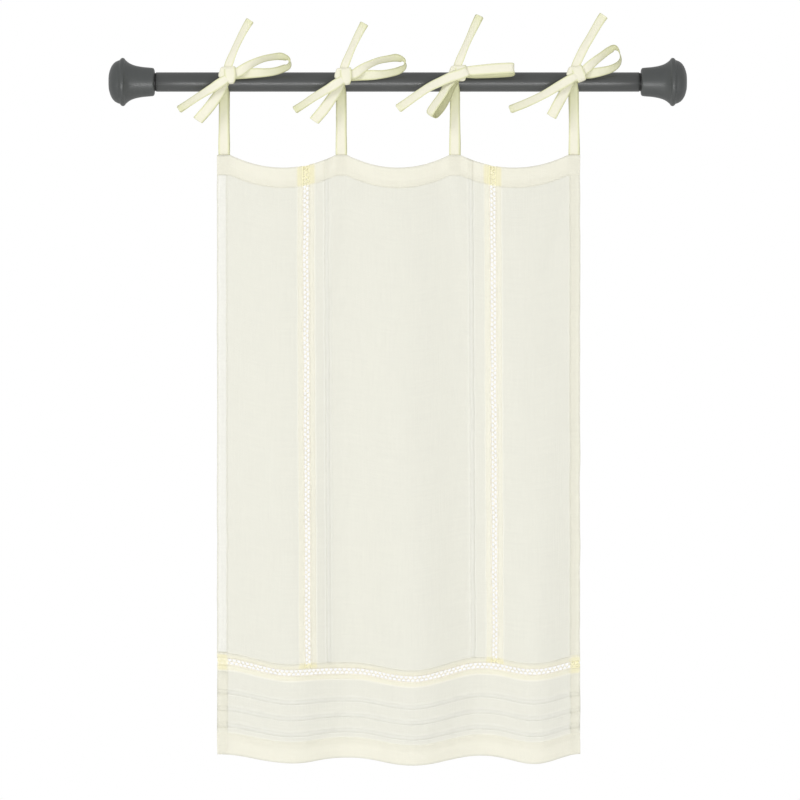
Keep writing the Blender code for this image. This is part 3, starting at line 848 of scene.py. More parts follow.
def group_tree(name, sizes):
    """A Geometry Nodes group with named number inputs, and their values by name."""
    tree = bpy.data.node_groups.new(name, "GeometryNodeTree")
    tree.interface.new_socket("Geometry", in_out="INPUT", socket_type="NodeSocketGeometry")
    tree.interface.new_socket("Geometry", in_out="OUTPUT", socket_type="NodeSocketGeometry")
    for label, value in sizes.items():
        tree.interface.new_socket(label, in_out="INPUT",
                                  socket_type="NodeSocketFloat").default_value = value
    tree.interface.new_socket("Material", in_out="INPUT", socket_type="NodeSocketMaterial")
    graph = Graph(tree)
    entry = tree.nodes.new("NodeGroupInput")
    values = {socket.name: Value(graph, socket) for socket in entry.outputs if socket.name}
    return graph, values


def finish_tree(graph, geometry, material):
    whole = graph.node("GeometryNodeRealizeInstances", inputs={0: geometry})
    coated = graph.node("GeometryNodeSetMaterial", inputs={0: whole, 2: material})
    graph.node("NodeGroupOutput", inputs={0: coated})
    return graph.tree


def join(graph, *pieces):
    node = graph.tree.nodes.new("GeometryNodeJoinGeometry")
    for piece in reversed(pieces):
        graph.tree.links.new(piece.socket, node.inputs[0])
    return Value(graph, node.outputs[0])


def lace_tree():
    graph, size = group_tree("lace_openwork", LACE_SIZES)
    curve = graph.node("GeometryNodeMeshToCurve", inputs={0: size["Geometry"]})
    path = graph.node("GeometryNodeResampleCurve", {"mode": "LENGTH"},
                      {"Curve": curve, "Length": size["Pitch"] * (1 / TURN_STEPS)})
    length = graph.node("GeometryNodeSplineParameter", output=1)
    turns = graph.node("ShaderNodeMath", {"operation": "DIVIDE"}, {0: length, 1: size["Pitch"]})
    wobble = graph.node("ShaderNodeTexNoise", {"noise_dimensions": "1D"}, {"W": turns * 0.7})
    wave = graph.node("ShaderNodeMath", {"operation": "PINGPONG"}, {0: turns * 2.0, 1: 1.0})
    swing = wave * 2.0 - 1.0
    dart = swing * swing * swing * swing * swing
    aside = ((swing * SWING_SHARE + dart * DART_SHARE) * size["Reach"]
             * (REACH_LOW + wobble * REACH_CHANGE))
    side = graph.node("GeometryNodeInputNamedAttribute", {"data_type": "FLOAT_VECTOR"},
                      {"Name": "side"})
    covered = graph.node("GeometryNodeInputNamedAttribute", {"data_type": "FLOAT"},
                         {"Name": "covered"})
    girth = covered * size["Covered Growth"] + 1.0

    def thread(route, shift, front, radius):
        """A round thread along a route, shifted sideways and to the front."""
        profile = graph.node("GeometryNodeCurvePrimitiveCircle",
                             inputs={"Resolution": 6, "Radius": radius})
        push = graph.node("ShaderNodeVectorMath", {"operation": "SCALE"},
                          {0: side, "Scale": shift})
        out = graph.node("ShaderNodeCombineXYZ", inputs={1: front})
        offset = graph.node("ShaderNodeVectorMath", {"operation": "ADD"}, {0: push, 1: out})
        moved = graph.node("GeometryNodeSetPosition", inputs={"Geometry": route, "Offset": offset})
        moved = graph.node("GeometryNodeSetCurveRadius", inputs={"Curve": moved, "Radius": girth})
        return graph.node("GeometryNodeCurveToMesh",
                          inputs={0: moved, "Profile Curve": profile, "Fill Caps": True})

    coarse = graph.node("GeometryNodeResampleCurve", {"mode": "LENGTH"},
                        {"Curve": curve, "Length": size["Pitch"] * EDGE_STEP})
    darting = thread(path, aside, dart.size() * -DART_FORWARD, size["Thread Radius"])
    left, right = (thread(coarse, size["Reach"] * way * EDGE_REACH, 0.0, size["Edge Radius"])
                   for way in (-1.0, 1.0))
    return finish_tree(graph, join(graph, darting, left, right), size["Material"])


def grow(name, tree, path_object, sizes, material):
    """Run a tree on a path, keep the result as a plain mesh, and drop the path."""
    modifier = path_object.modifiers.new("grow", "NODES")
    modifier.node_group = tree
    settings = {**sizes, "Material": material}
    for item in tree.interface.items_tree:
        if item.in_out == "INPUT" and item.name in settings:
            modifier[item.identifier] = settings[item.name]
    evaluated = path_object.evaluated_get(bpy.context.evaluated_depsgraph_get())
    mesh = bpy.data.meshes.new_from_object(evaluated)
    bpy.data.objects.remove(path_object, do_unlink=True)
    mesh.name = name
    mesh.shade_smooth()
    piece = bpy.data.objects.new(name, mesh)
    bpy.context.scene.collection.objects.link(piece)
    return piece


def path_lines(name, routes):
    """An object of edges only, along each route of points, sides and covers."""
    points, edges, sides, covers = [], [], [], []
    for route in routes:
        edges += [(len(points) + i, len(points) + i + 1) for i in range(len(route) - 1)]
        points += [point for point, _, _ in route]
        sides += [side for _, side, _ in route]
        covers += [cover for _, _, cover in route]
    mesh = bpy.data.meshes.new(name)
    mesh.from_pydata(points, edges, [])
    attribute = mesh.attributes.new("side", "FLOAT_VECTOR", "POINT")
    attribute.data.foreach_set("vector", [value for side in sides for value in side])
    mesh.attributes.new("covered", "FLOAT", "POINT").data.foreach_set("value", covers)
    path = bpy.data.objects.new(name, mesh)
    bpy.context.scene.collection.objects.link(path)
    return path


# %% [markdown]
# The lengthwise strips start at the top edge, in front of their backing, and stop at the
# cross strip, whose ends are turned in at both side hems. Each strip's walk goes through
# `fold_lines`, as the cloth does.

# %% Lace strips
def side_at(across, down, lengthwise):
    """The direction across a lace strip, on the hanging cloth."""
    x, y = (0.002, 0.0) if lengthwise else (0.0, 0.002)
    return (drape(across + x, down + y) - drape(across - x, down - y)).normalized()


LACE_START = 0.0006              # the strips start this far below the top edge
LACE_END = 0.0005                # and stop this far above the cross lace
LACE_MIDDLE = 0.00035            # the middle of the lace, behind the front of the linen
CROSS_INSET = 0.001              # the cross lace turns in this far inside the side edges
CROSS_TURN = 4 * LAYER           # and goes back this far behind
CROSS_TAIL = 0.8                 # of the side hem's depth
openwork = lace_tree()
for name, middle in zip(("lace_left", "lace_right"), LACE_ACROSS):
    walk = [(LACE_START, 0.0, 0.0), (panel_bottom - LACE_END, 0.0, 0.0)]
    route = [(drape(middle, down, behind + LACE_MIDDLE), side_at(middle, down, True),
              max(within(down, 0.0, TOP_HEM), within(down, facing_top, LACE_LINE)))
             for down, behind, _, _, _ in fold_lines(walk, SPACING)]
    strip = grow(f"{name}_threads", openwork, path_lines(name, [route]), LACE_SIZES, lace_cotton)
    hand_in(strip, "lace", name)
walk = [(LEFT_HEM * CROSS_TAIL, CROSS_TURN, 0.0), (CROSS_INSET, CROSS_TURN, 0.0),
        (CROSS_INSET, 0.0, 0.0), (WIDTH - CROSS_INSET, 0.0, 0.0),
        (WIDTH - CROSS_INSET, CROSS_TURN, 0.0), (WIDTH - RIGHT_HEM * CROSS_TAIL, CROSS_TURN, 0.0)]
route = [(drape(across, LACE_LINE, behind + LACE_MIDDLE), side_at(across, LACE_LINE, False),
          within(across, WIDTH - RIGHT_HEM, WIDTH + RIGHT_HEM))
         for across, behind, _, _, _ in fold_lines(walk, SPACING)]
lace_cross = grow("lace_cross_threads", openwork, path_lines("lace_cross", [route]), LACE_SIZES,
                  lace_cotton)
hand_in(lace_cross, "lace", "lace_cross")

# %% [markdown]
# ## Stitches
# Every hem, tuck and turned edge is held by a row of short hand stitches. One small
# rounded stitch is placed again and again along the seam lines, turned to follow them.

# %% Stitch tree
STITCH_SIZES = {"Pitch": 0.0034, "Stitch": 0.0021, "Thread Radius": 0.00022}


def stitch_tree():
    graph, size = group_tree("running_stitch", STITCH_SIZES)
    curve = graph.node("GeometryNodeMeshToCurve", inputs={0: size["Geometry"]})
    spots = graph.node("GeometryNodeResampleCurve", {"mode": "LENGTH"},
                       {"Curve": curve, "Length": size["Pitch"]})
    tangent = graph.node("GeometryNodeInputTangent")
    aim = graph.node("FunctionNodeAlignRotationToVector", {"axis": "Z"}, {"Vector": tangent})
    bead = graph.node("GeometryNodeMeshUVSphere", inputs={"Segments": 6, "Rings": 4, "Radius": 1.0})
    girth = size["Thread Radius"]
    shape = graph.node("ShaderNodeCombineXYZ",
                       inputs={0: girth, 1: girth, 2: size["Stitch"] * 0.5})
    sewn = graph.node("GeometryNodeInstanceOnPoints",
                      inputs={"Points": spots, "Instance": bead, "Rotation": aim, "Scale": shape})
    return finish_tree(graph, sewn, size["Material"])


def seam_steps(start, end):
    """Places 6 mm apart along a seam."""
    steps = round((end - start) / 0.006)
    return [mix(start, end, i / steps) for i in range(steps + 1)]


def seam_down(across, start, end):
    return [(drape(across, down, SEAM_FRONT), (1, 0, 0), 0.0) for down in seam_steps(start, end)]


def seam_across(down, start, end, front=0.0):
    return [(drape(across, down, SEAM_FRONT + front), (0, 0, 1), 0.0)
            for across in seam_steps(start, end)]


# %% [markdown]
# The rows of stitches stop short of the lace, of the tucks and of the curtain's edges.

# %% Seams
SEAM_FRONT = -0.00008
INSET = 0.0014                   # from the inner edge of a hem to its stitches
EDGE_INSET = 0.0009              # from the edge of a facing or turned edge
SEAM_START, SEAM_END = 0.001, WIDTH - 0.001
CLEAR = 0.005                    # round the middle of a lace strip
top_runs = ((SEAM_START, left_lace - CLEAR), (left_lace + CLEAR, left_fold - 0.0005),
            (left_stitch + 0.002, right_stitch - 0.002),
            (right_fold + 0.0005, right_lace - CLEAR), (right_lace + CLEAR, SEAM_END))
seams = [seam_across(TOP_HEM - INSET, start, end) for start, end in top_runs]
seams.append(seam_across(LENGTH - BOTTOM_HEM + INSET, SEAM_START, SEAM_END))
panel_end = panel_bottom - 0.007
for start, end in ((TOP_HEM + 0.001, panel_end), (LACE_LINE + SEAM_HALF + 0.001, LENGTH - 0.002)):
    for across in (LEFT_HEM - INSET, WIDTH - RIGHT_HEM + INSET):
        seams.append(seam_down(across, start, end))
for middle in LACE_ACROSS:
    for way in (-1, 1):
        for out in (SEAM_HALF + 0.0008, FLANK - 0.0008):
            seams.append(seam_down(middle + way * out, TOP_HEM, panel_end))
for down, front in ((facing_top + EDGE_INSET, FACING_FRONT),
                    (facing_bottom - EDGE_INSET, FACING_FRONT),
                    (LACE_LINE + SEAM_HALF + EDGE_INSET, 0.0),
                    (LACE_LINE + FLANK - EDGE_INSET, 0.0)):
    seams.append(seam_across(down, SEAM_START, SEAM_END, front))
stitches = grow("seam_stitches", stitch_tree(), path_lines("seams", seams), STITCH_SIZES,
                seam_thread)
hand_in(stitches, "linen")

# %% [markdown]
# ## Ties
# Each tie is one linen tape, folded in half and sewn behind the top hem. One half goes up
# in front of the rod, the other behind it and over, and they are tied in a bow. A tape is
# flat, so its ribbons are swept from a centre line and a side direction. Where a ribbon
# goes into the knot it is squeezed: narrower, thicker and cupped.

# %% Tape ribbons
TAPE_WIDTH = 0.0125
TAPE_THICKNESS = 0.0008
WRAP_RADIUS = TUBE_RADIUS + 2 * GAP + 0.0005
KNOT_FRONT = 0.0195              # from the rod's axis to the middle of a knot
KNOT_THICKNESS = 0.0125
RIBBON_STEPS = 7                 # between two stations
FLUTTER = 0.04                   # how unevenly wide loose tape is
KNOT_NARROWS, KNOT_THICKENS = 0.3, 0.5         # what a knot does to tape
CUP, KNOT_CUP = 0.0003, 0.0007   # how hollow it lies, and how much more in a knot
WAVE = 0.0003                    # small waves in its face
TIP_REACH = 0.007                # a tail's end is turned in, with painted shade
TIP_SOFT = 0.002
TIP_ROUND, TIP_PINCH = 0.0008, 0.3
# how much a turned-in tip thickens, and its painted shade
TIP_THICKENS, TIP_PAINTED_SHADE = 0.4, 0.25
RIM_PAINTED_SHADE = 1.3                   # painted shade along both edges of the tape
RIM = (1.0, 0.97, 0.85, 0.6, 0.3, 0.0, -0.3, -0.6, -0.85, -0.97)   # across half the ring
SECTION = [(x, (1 - abs(x) ** 6) ** 0.5) for x in RIM]   # in half widths, half thicknesses
SECTION += [(-x, -y) for x, y in SECTION]


def sweep_tape(skin, centres, sides, squeeze, shades, widths, seed, tail=False):
    """Add a ribbon along centre points; squeeze is 0 for flat tape and 1 inside a knot."""
    rows, cut, layers_and_shade = [], [], []
    travelled = 0.0
    length = sum((b - a).length for a, b in zip(centres, centres[1:]))
    for index, centre in enumerate(centres):
        before, after = centres[max(index - 1, 0)], centres[min(index + 1, len(centres) - 1)]
        if index:
            travelled += (centre - centres[index - 1]).length
        along = (after - before).normalized()
        side = (sides[index] - along * sides[index].dot(along)).normalized()
        face = side.cross(along)
        tight, left = squeeze[index], length - travelled
        flutter = FLUTTER * noise.noise(Vector((travelled * 55, seed, 0.5)))
        turned_in = ease((TIP_REACH - left) / TIP_SOFT) if tail else 0.0
        half = (TAPE_WIDTH / 2 * widths[index]
                * (1 - KNOT_NARROWS * tight + flutter * (1 - tight))
                * (1 - TIP_PINCH * turned_in * ease((TIP_ROUND - left) / TIP_ROUND)))
        thick = TAPE_THICKNESS / 2 * (1 + KNOT_THICKENS * tight + TIP_THICKENS * turned_in)
        row = []
        for x, y in SECTION:
            lift = ((CUP + KNOT_CUP * tight) * (x * x - 0.4)
                    + WAVE * noise.noise(Vector((x * 1.1, travelled * 45, seed))))
            row.append(centre + side * (half * x) + face * (thick * y + lift))
        rows.append(row)
        cut.append([(x * TAPE_WIDTH / 2, -travelled) for x, _ in SECTION])
        # Painted shade: the station's share, more at a turned-in tip, and most along the edges.
        body = shades[index] + TIP_PAINTED_SHADE * turned_in
        layers_and_shade.append([body + RIM_PAINTED_SHADE * ease((abs(x) - 0.62) / 0.3) for x, _ in SECTION])
    skin.add_tube(rows, cut, layers_and_shade)
    return travelled


print("tape section of", len(SECTION), "points")

# %% [markdown]
# The stations of each bow say where its ribbons go: across, up and out from the rod in
# millimetres, and the turn of the tape in degrees, 0 face-on and 90 edge-on. A fifth
# number is painted shade, greener and darker inside the loops, under the knot and
# towards the tips.

# %% Bow shapes
BOWS = (
    {"knot": (0.0049, 0.0068, 0.0235, 0.0215), "slant": 7, "narrow": 0.55,
     "tail_up": (
         (3, 8, 19, 8), (5, 17, 20, 22), (12, 35, 21.5, 40), (20, 52, 23, 42, 0.1),
         (28.5, 67.5, 24.5, 34, 0.3), (33, 74.5, 25, 26, 0.7)),
     "loop_right": (
         (6, 7, 21, 0), (18, 10.3, 23.5, -8, 0.1), (32.5, 19.3, 25, -40, 0.1),
         (48, 26.1, 25.5, -54, 0.3), (62, 28.9, 25.5, -54, 0.5), (71.5, 29.4, 25.5, -48, 0.8),
         (79, 26.5, 25, -56, 1), (81, 22.5, 23.5, -60, 1), (79, 17.8, 22, -56, 1),
         (72.5, 14.6, 21, -50, 0.9), (63, 11.7, 20.5, -46, 0.6), (51, 10.2, 20, -38, 0.4),
         (38.5, 9.7, 19.5, -20, 0.3), (23, 8.5, 19, -8, 0.6), (8, 6, 18.5, 0, 0.6)),
     "tail_down": (
         (5, 3.2, 24.8, 0), (1, 0.4, 25.9, 0), (-4, -2.9, 26.2, -4), (-9, -6.1, 26, -14),
         (-14, -9.4, 25.6, -24),
         (-29, -18.7, 25.5, -36, 0.1), (-43, -28, 25.5, -36, 0.4), (-55.5, -36.3, 25.5, -34, 0.8)),
     "loop_left": (
         (3, 2, 19.5, 8, 0.4), (-2, -9, 21, 6, 0.3), (-7, -17.7, 22, 4, 0.1), (-18.5, -33.3, 22.5, 0),
         (-30.2, -46.8, 22, 0, 0.1), (-31.8, -48.8, 20, 0, 0.6), (-29.8, -46.4, 18, 0, 0.5),
         (-18, -32.8, 17.5, 4, 0.5), (-7, -17.4, 17.5, 6, 0.5), (-2, -9, 17.5, 8, 0.5),
         (3, 1, 18, 8, 0.5))},
    {"knot": (0.0029, 0.0055, 0.0230, 0.0210), "slant": 6, "narrow": 0.5,
     "tail_up": (
         (2, 8, 19, 8), (3.5, 16, 20, 22), (10.5, 33.5, 21.5, 38), (17.5, 49, 23, 40, 0.1),
         (24.5, 62.5, 24.5, 34, 0.3), (29, 70.5, 25, 26, 0.7)),
     "loop_right": (
         (4, 6, 21, 0), (16.5, 8.3, 23.5, -8, 0.1), (29.8, 17, 25, -38, 0.1),
         (45.2, 23.8, 25.5, -54, 0.3), (59.2, 26.6, 25.5, -54, 0.5), (68.5, 27.7, 25.5, -48, 0.8),
         (76.3, 25, 25, -56, 1), (78.4, 20.7, 23.5, -60, 1), (76.3, 16, 22, -56, 1),
         (70, 12.2, 21, -50, 0.9), (59.2, 9.4, 20.5, -46, 0.6), (48.3, 7.8, 20, -38, 0.4),
         (36, 7.1, 19.5, -20, 0.3), (20.5, 6.2, 19, -8, 0.6), (6, 4, 18.5, 0, 0.6)),
     "tail_down": (
         (3, 1.9, 24.8, 0), (-1, -0.9, 25.9, 0), (-6, -4.2, 26.2, -4), (-11, -7.4, 26, -16),
         (-16.8, -10.9, 25.6, -26),
         (-32.3, -20.2, 25.5, -34, 0.1), (-46.2, -29.5, 25.5, -36, 0.5), (-57.6, -36.9, 25.5, -34, 0.8)),
     "loop_left": (
         (2, 1, 19.5, 8, 0.4), (-4, -10.5, 21, 6, 0.3), (-9.8, -19.2, 22, 4, 0.1),
         (-20.7, -34.7, 22.5, 0), (-31.6, -47.5, 22, 0, 0.1), (-33.2, -49.5, 20, 0, 0.6),
         (-31.2, -47.1, 18, 0, 0.5), (-20.2, -34.2, 17.5, 4, 0.5), (-9.8, -18.9, 17.5, 6, 0.5),
         (-4, -10, 17.5, 8, 0.5), (2, 0, 18, 8, 0.5))},
    {"knot": (0.0040, 0.0092, 0.0250, 0.0195), "slant": 8, "narrow": 0.5, "over": True,
     "tail_up": (
         (1, 11, 19, 8), (3, 19.5, 20, 24), (10, 36.5, 21.5, 42), (16.8, 51.8, 23, 44, 0.1),
         (23.7, 67, 24.5, 36, 0.4), (30.2, 80, 25, 28, 0.8)),
     "loop_right": (
         (9, 11, 22, 0), (18, 12, 23.5, 2), (34, 13.3, 25.5, 2), (49.5, 14.5, 26, 2), (65, 15.4, 26, 3),
         (70.5, 15.3, 25.5, 3, 0.1), (72.3, 13.8, 22.8, 3, 0.6), (70, 11.9, 20, 3, 0.8),
         (64.5, 11.2, 19, 2, 0.9), (49, 10.2, 18.5, 2, 0.9), (34, 9.6, 18, 2, 0.8),
         (18, 9.3, 18, 2, 0.6), (9, 9, 18, 0, 0.5)),
     "tail_down": (
         (15.5, 12, 22, 0), (14, 11, 25.8, 0), (6, 7.4, 27, 0), (-5, 4.2, 27, -6), (-18, -1.5, 26, -20),
         (-32, -8.1, 25, -28), (-45.5, -17, 25, -30), (-59, -26.6, 25.5, -26, 0.1),
         (-71, -35.2, 26, -20, 0.3)),
     "loop_left": (
         (-1, 3, 22, -20, 0.5), (-9.6, -6.4, 24, -35, 0.3), (-16.6, -18, 25.5, -38, 0.1),
         (-24.3, -28.8, 26.5, -38, 0.1), (-30.5, -38.3, 26.5, -38, 0.2), (-31, -42.6, 25, -45, 0.8),
         (-27.5, -44.5, 22.5, -45, 1), (-23.5, -41.5, 20.5, -40, 1), (-16.6, -33.1, 19.5, -38, 1),
         (-9.8, -20.7, 19, -35, 1), (-5, -8, 18.5, -30, 1), (2, 3, 18, -20, 1))},
    {"knot": (0.0026, 0.0082, 0.0250, 0.0195), "slant": 24, "narrow": 0.25,
     "tail_up": (
         (-2, 10, 19, 6), (1.2, 18, 20, 18), (10.2, 37, 21.5, 32), (21, 55.6, 23, 34, 0.1),
         (31, 72.6, 24.5, 26, 0.2), (36.5, 80.5, 25, 18, 0.3)),
     "loop_right": (
         (6, 8, 21, 0), (13.3, 13.2, 23.5, -10), (22.6, 21.6, 25, -34, 0.1),
         (33.5, 30.1, 25.5, -46, 0.4), (42.8, 37, 25.5, -50, 0.8), (49.5, 39.8, 25, -56, 1),
         (54.8, 36, 24, -66, 1), (57, 28, 22.5, -70, 1), (53.8, 20.5, 21.5, -60, 0.9),
         (46, 15, 20.5, -46, 0.7), (35, 11.8, 20, -34, 0.4), (22.6, 9.4, 19.5, -15, 0.4),
         (14, 8, 19, 0, 0.5), (6, 6, 18.5, 0, 0.5)),
     "tail_down": (
         (4, 6.6, 24.8, 0), (0, 4.3, 25.9, 0), (-6, 0.8, 26.2, -4), (-13, -3.3, 26, -14),
         (-21, -7.8, 25.6, -24),
         (-39.5, -18.5, 25.5, -30), (-61, -28.6, 25.5, -32, 0.2), (-80, -36, 25.5, -32, 0.5)),
     "loop_left": (
         (1, 4, 19.5, 8, 0.4), (-5, -1, 21, 6, 0.3), (-12.5, -15.3, 22, 4), (-20.5, -29.2, 22.5, 0),
         (-27.2, -41.8, 22, 0, 0.1), (-28.3, -44, 20, 0, 0.6), (-26.8, -41.4, 18, 0, 0.5),
         (-20.2, -28.8, 17.5, 4, 0.5), (-12.5, -15, 17.5, 6, 0.5), (-5, -1, 17.5, 8, 0.5),
         (1, 4, 18, 8, 0.5))})
SQUEEZE_REACH = 0.011 / 0.9 ** 0.5           # how far from the knot a ribbon has opened out again
LOOP_EASE = 0.05                 # a loop is a little wider in its middle


def add_bow_ribbon(skin, origin, knot_centre, stations, seed, tail, over=False):
    """One loop or tail. Over says that it lies on the knot, and isn't squeezed."""
    run = smooth_points([(*station, 0.0)[:5] for station in stations], RIBBON_STEPS)
    centres = [origin + Vector((x, -front, up)) / 1000 for x, up, front, _, _ in run]
    farthest = max(centres, key=lambda centre: (centre - centres[0]).length)
    reach = farthest - centres[0]
    flat = Vector((-reach.z, 0.0, reach.x)).normalized()
    edge = Vector((0.0, 1.0, 0.0))
    sides = [flat * math.cos(math.radians(turn)) + edge * math.sin(math.radians(turn))
             for _, _, _, turn, _ in run]
    squeeze = [0.0 if over else math.exp(-((centre - knot_centre).length / SQUEEZE_REACH) ** 2)
               for centre in centres]
    shades = [shade for _, _, _, _, shade in run]
    swell = 0.0 if tail else LOOP_EASE
    widths = [1.0 + swell * math.sin(math.pi * i / len(run)) for i in range(len(run))]
    return sweep_tape(skin, centres, sides, squeeze, shades, widths, seed, tail)


# %% [markdown]
# The strap is both halves of the tape, from behind the top hem up to the rod. The front
# half goes straight into the knot, and the back half goes round the rod first.

# %% Strap
TAB_DEPTH, TAB_LENGTH, TAB_SEWN, TAB_RISE = 0.0015, 0.022, 0.008, 0.003
STRAND_GAP = TAPE_THICKNESS * 1.05             # from one half to the other, behind the hem
STRAND_SHIFT = 0.0004            # the halves don't quite cover each other
WRAP_FROM, WRAP_TO, WRAP_STEPS = -5, 148, 8    # degrees round the rod
STRAP_STEPS = 6
HEM_FLARE = 0.08                 # the strap is flattest and widest where it is sewn down
ROD_PINCH = 0.36                 # and the front half is drawn in where it enters the knot
STRAP_SHADE = 0.9                # painted shade of the bow, higher up the strap


def add_strap(skin, origin, depth, knot_up, aside, seed):
    """Both halves of a tie's strap, through (depth, up) points."""
    tab_depth = depth + TAB_DEPTH
    behind = tab_depth + STRAND_GAP
    tab_top = -TOP_DROP + TAB_RISE
    tab_ups = (-TOP_DROP - TAB_LENGTH, -TOP_DROP - TAB_SEWN, tab_top)
    front = [*((tab_depth, up) for up in tab_ups),
             (mix(tab_depth, -WRAP_RADIUS, 0.5), tab_top / 2), (-WRAP_RADIUS, 0.0),
             (-KNOT_FRONT + KNOT_THICKNESS / 4, knot_up)]
    back = [*((behind, up) for up in tab_ups), (mix(behind, WRAP_RADIUS, 0.5), tab_top / 2)]
    for step in range(WRAP_STEPS + 1):
        angle = math.radians(mix(WRAP_FROM, WRAP_TO, step / WRAP_STEPS))
        back.append((WRAP_RADIUS * math.cos(angle), WRAP_RADIUS * math.sin(angle)))
    back.append((-KNOT_FRONT, knot_up))
    length = 0.0
    for points, shift, pinch in ((front, -STRAND_SHIFT, ROD_PINCH), (back, STRAND_SHIFT, 0.0)):
        run = smooth_points(points, STRAP_STEPS)
        low = [ease(-up / 0.08) for _, up in run]
        centres = [origin + Vector((shift * max(0.3, share) + aside * share, y, up))
                   for (y, up), share in zip(run, low)]
        widths = [mix(1 + HEM_FLARE, 1.0, ease((up + 0.09) / 0.05))
                  * (1 - pinch * ease((up + 0.016) / 0.02)) for _, up in run]
        shades = [STRAP_SHADE * ease((up + 0.068) / 0.055) for _, up in run]
        length += sweep_tape(skin, centres, [Vector((1, 0, 0))] * len(run), [0.0] * len(run),
                             shades, widths, seed + shift)
    return length


# %% [markdown]
# The knot is the tape wrapped once round the gathered ribbons. It has two parts: a soft
# pillow, which is the bundle, and a band of tape that comes over the top, runs down the
# front on a slant, and goes under. The band's free edges make the two creases one sees.

# %% Knot
BAND_TURN = 44                   # stations round the band
PILLOW_OUTLINE = (               # half widths across and half heights up, round from the top left
    (-0.66, 1.0), (0.1, 1.02), (0.86, 0.96), (1.0, 0.4), (0.99, -0.22), (0.55, -0.70),
    (0.0, -1.0), (-0.52, -0.66), (-1.0, -0.12), (-0.9, 0.5))
PILLOW_LAYERS = (                # share of the outline, and half thicknesses to the front
    (0.45, -1.0), (0.80, -0.93), (0.95, -0.6), (1.0, 0.0), (0.97, 0.6), (0.90, 0.88),
    (0.78, 0.98), (0.40, 1.0))
PILLOW_STEPS = 4
# the pillow's dents, and a little painted shade on the whole bundle
PILLOW_DENT, PILLOW_PAINTED_SHADE = 0.0004, 0.15
PILLOW_WIDE, PILLOW_HIGH, PILLOW_THIN = 0.96, 0.95, 0.0012     # in the knot's full size
BAND_HIGH, BAND_THICK, BAND_ASIDE = 0.97, 0.0004, 0.0034       # and the band's
BAND_SQUARE = 0.5                # how square the band's turn is, where 1 is an ellipse
BAND_HALF = 0.57                 # of the tape's width
# the band's hollow, and a little painted shade on it
BAND_CUP, BAND_PAINTED_SHADE = 0.0004, 0.1


def squared(angle, power):
    """A circle with squarer corners: its cosine and sine, each raised to a power."""
    return [math.copysign(abs(v) ** power, v) for v in (math.cos(angle), math.sin(angle))]


def add_pillow(skin, centre, width, height, thickness, seed):
    """The gathered bundle inside the knot."""
    loop = [PILLOW_OUTLINE[-1], *PILLOW_OUTLINE, *PILLOW_OUTLINE[:2]]
    outline = smooth_points(loop, PILLOW_STEPS)[PILLOW_STEPS:-PILLOW_STEPS - 1]
    rows, cut = [], []
    for share, depth in PILLOW_LAYERS:
        ring = [(x * share * width / 2, z * share * height / 2) for x, z in outline]
        dents = [PILLOW_DENT * noise.noise(Vector((x * 2.2, z * 2.2, seed + depth)))
                 for x, z in outline]
        rows.append([centre + Vector((x, -depth * thickness / 2 + dent, z))
                     for (x, z), dent in zip(ring, dents)])
        cut.append(ring)
    skin.add_tube(rows, cut, [[PILLOW_PAINTED_SHADE] * len(outline)] * len(rows))


def add_band(skin, centre, slant, narrow, height, thickness, seed):
    """The tape's one turn round the knot, on a slant from upright, drawn in at the bottom."""
    down = Vector((math.sin(slant), 0.0, -math.cos(slant)))
    side = Vector((math.cos(slant), 0.0, math.sin(slant)))
    out = Vector((0.0, -1.0, 0.0))
    rows, cut, layers_and_shade = [], [], []
    for step in range(BAND_TURN):
        angle = 2 * math.pi * step / BAND_TURN
        x, y = squared(angle, BAND_SQUARE)
        spot = centre + down * (y * height / 2) + out * (x * thickness / 2)
        outward = (down * (math.sin(angle) / height)
                   + out * (math.cos(angle) / thickness)).normalized()
        half = TAPE_WIDTH * BAND_HALF * (1 - narrow * max(0.0, y) ** 1.6)
        row = []
        for u, v in SECTION:
            wave = WAVE * noise.noise(Vector((u * 1.6, angle * 1.5, seed)))
            lift = v * TAPE_THICKNESS / 2 - BAND_CUP * u * u + wave
            row.append(spot + side * (u * half) + outward * lift)
        rows.append(row)
        cut.append([(u * TAPE_WIDTH / 2, -angle * height / 2) for u, _ in SECTION])
        # painted shade on the band, darker along its edges
        layers_and_shade.append([BAND_PAINTED_SHADE + RIM_PAINTED_SHADE * ease((abs(u) - 0.7) / 0.25) for u, _ in SECTION])
    skin.add_rows(rows + rows[:1], cut + cut[:1], layers_and_shade + layers_and_shade[:1], closed=True)


def add_knot(skin, origin, knot, slant, narrow, seed):
    across, up, width, height = knot
    centre = origin + Vector((across, -KNOT_FRONT, up))
    add_pillow(skin, centre, width * PILLOW_WIDE, height * PILLOW_HIGH,
               KNOT_THICKNESS - PILLOW_THIN, seed)
    add_band(skin, centre + Vector((BAND_ASIDE, 0.0, 0.0)), math.radians(slant), narrow,
             height * BAND_HIGH, KNOT_THICKNESS + BAND_THICK, seed)


# %% [markdown]
# Now the four ties can be tied. Each is one piece: strap, tails, loops and knot.

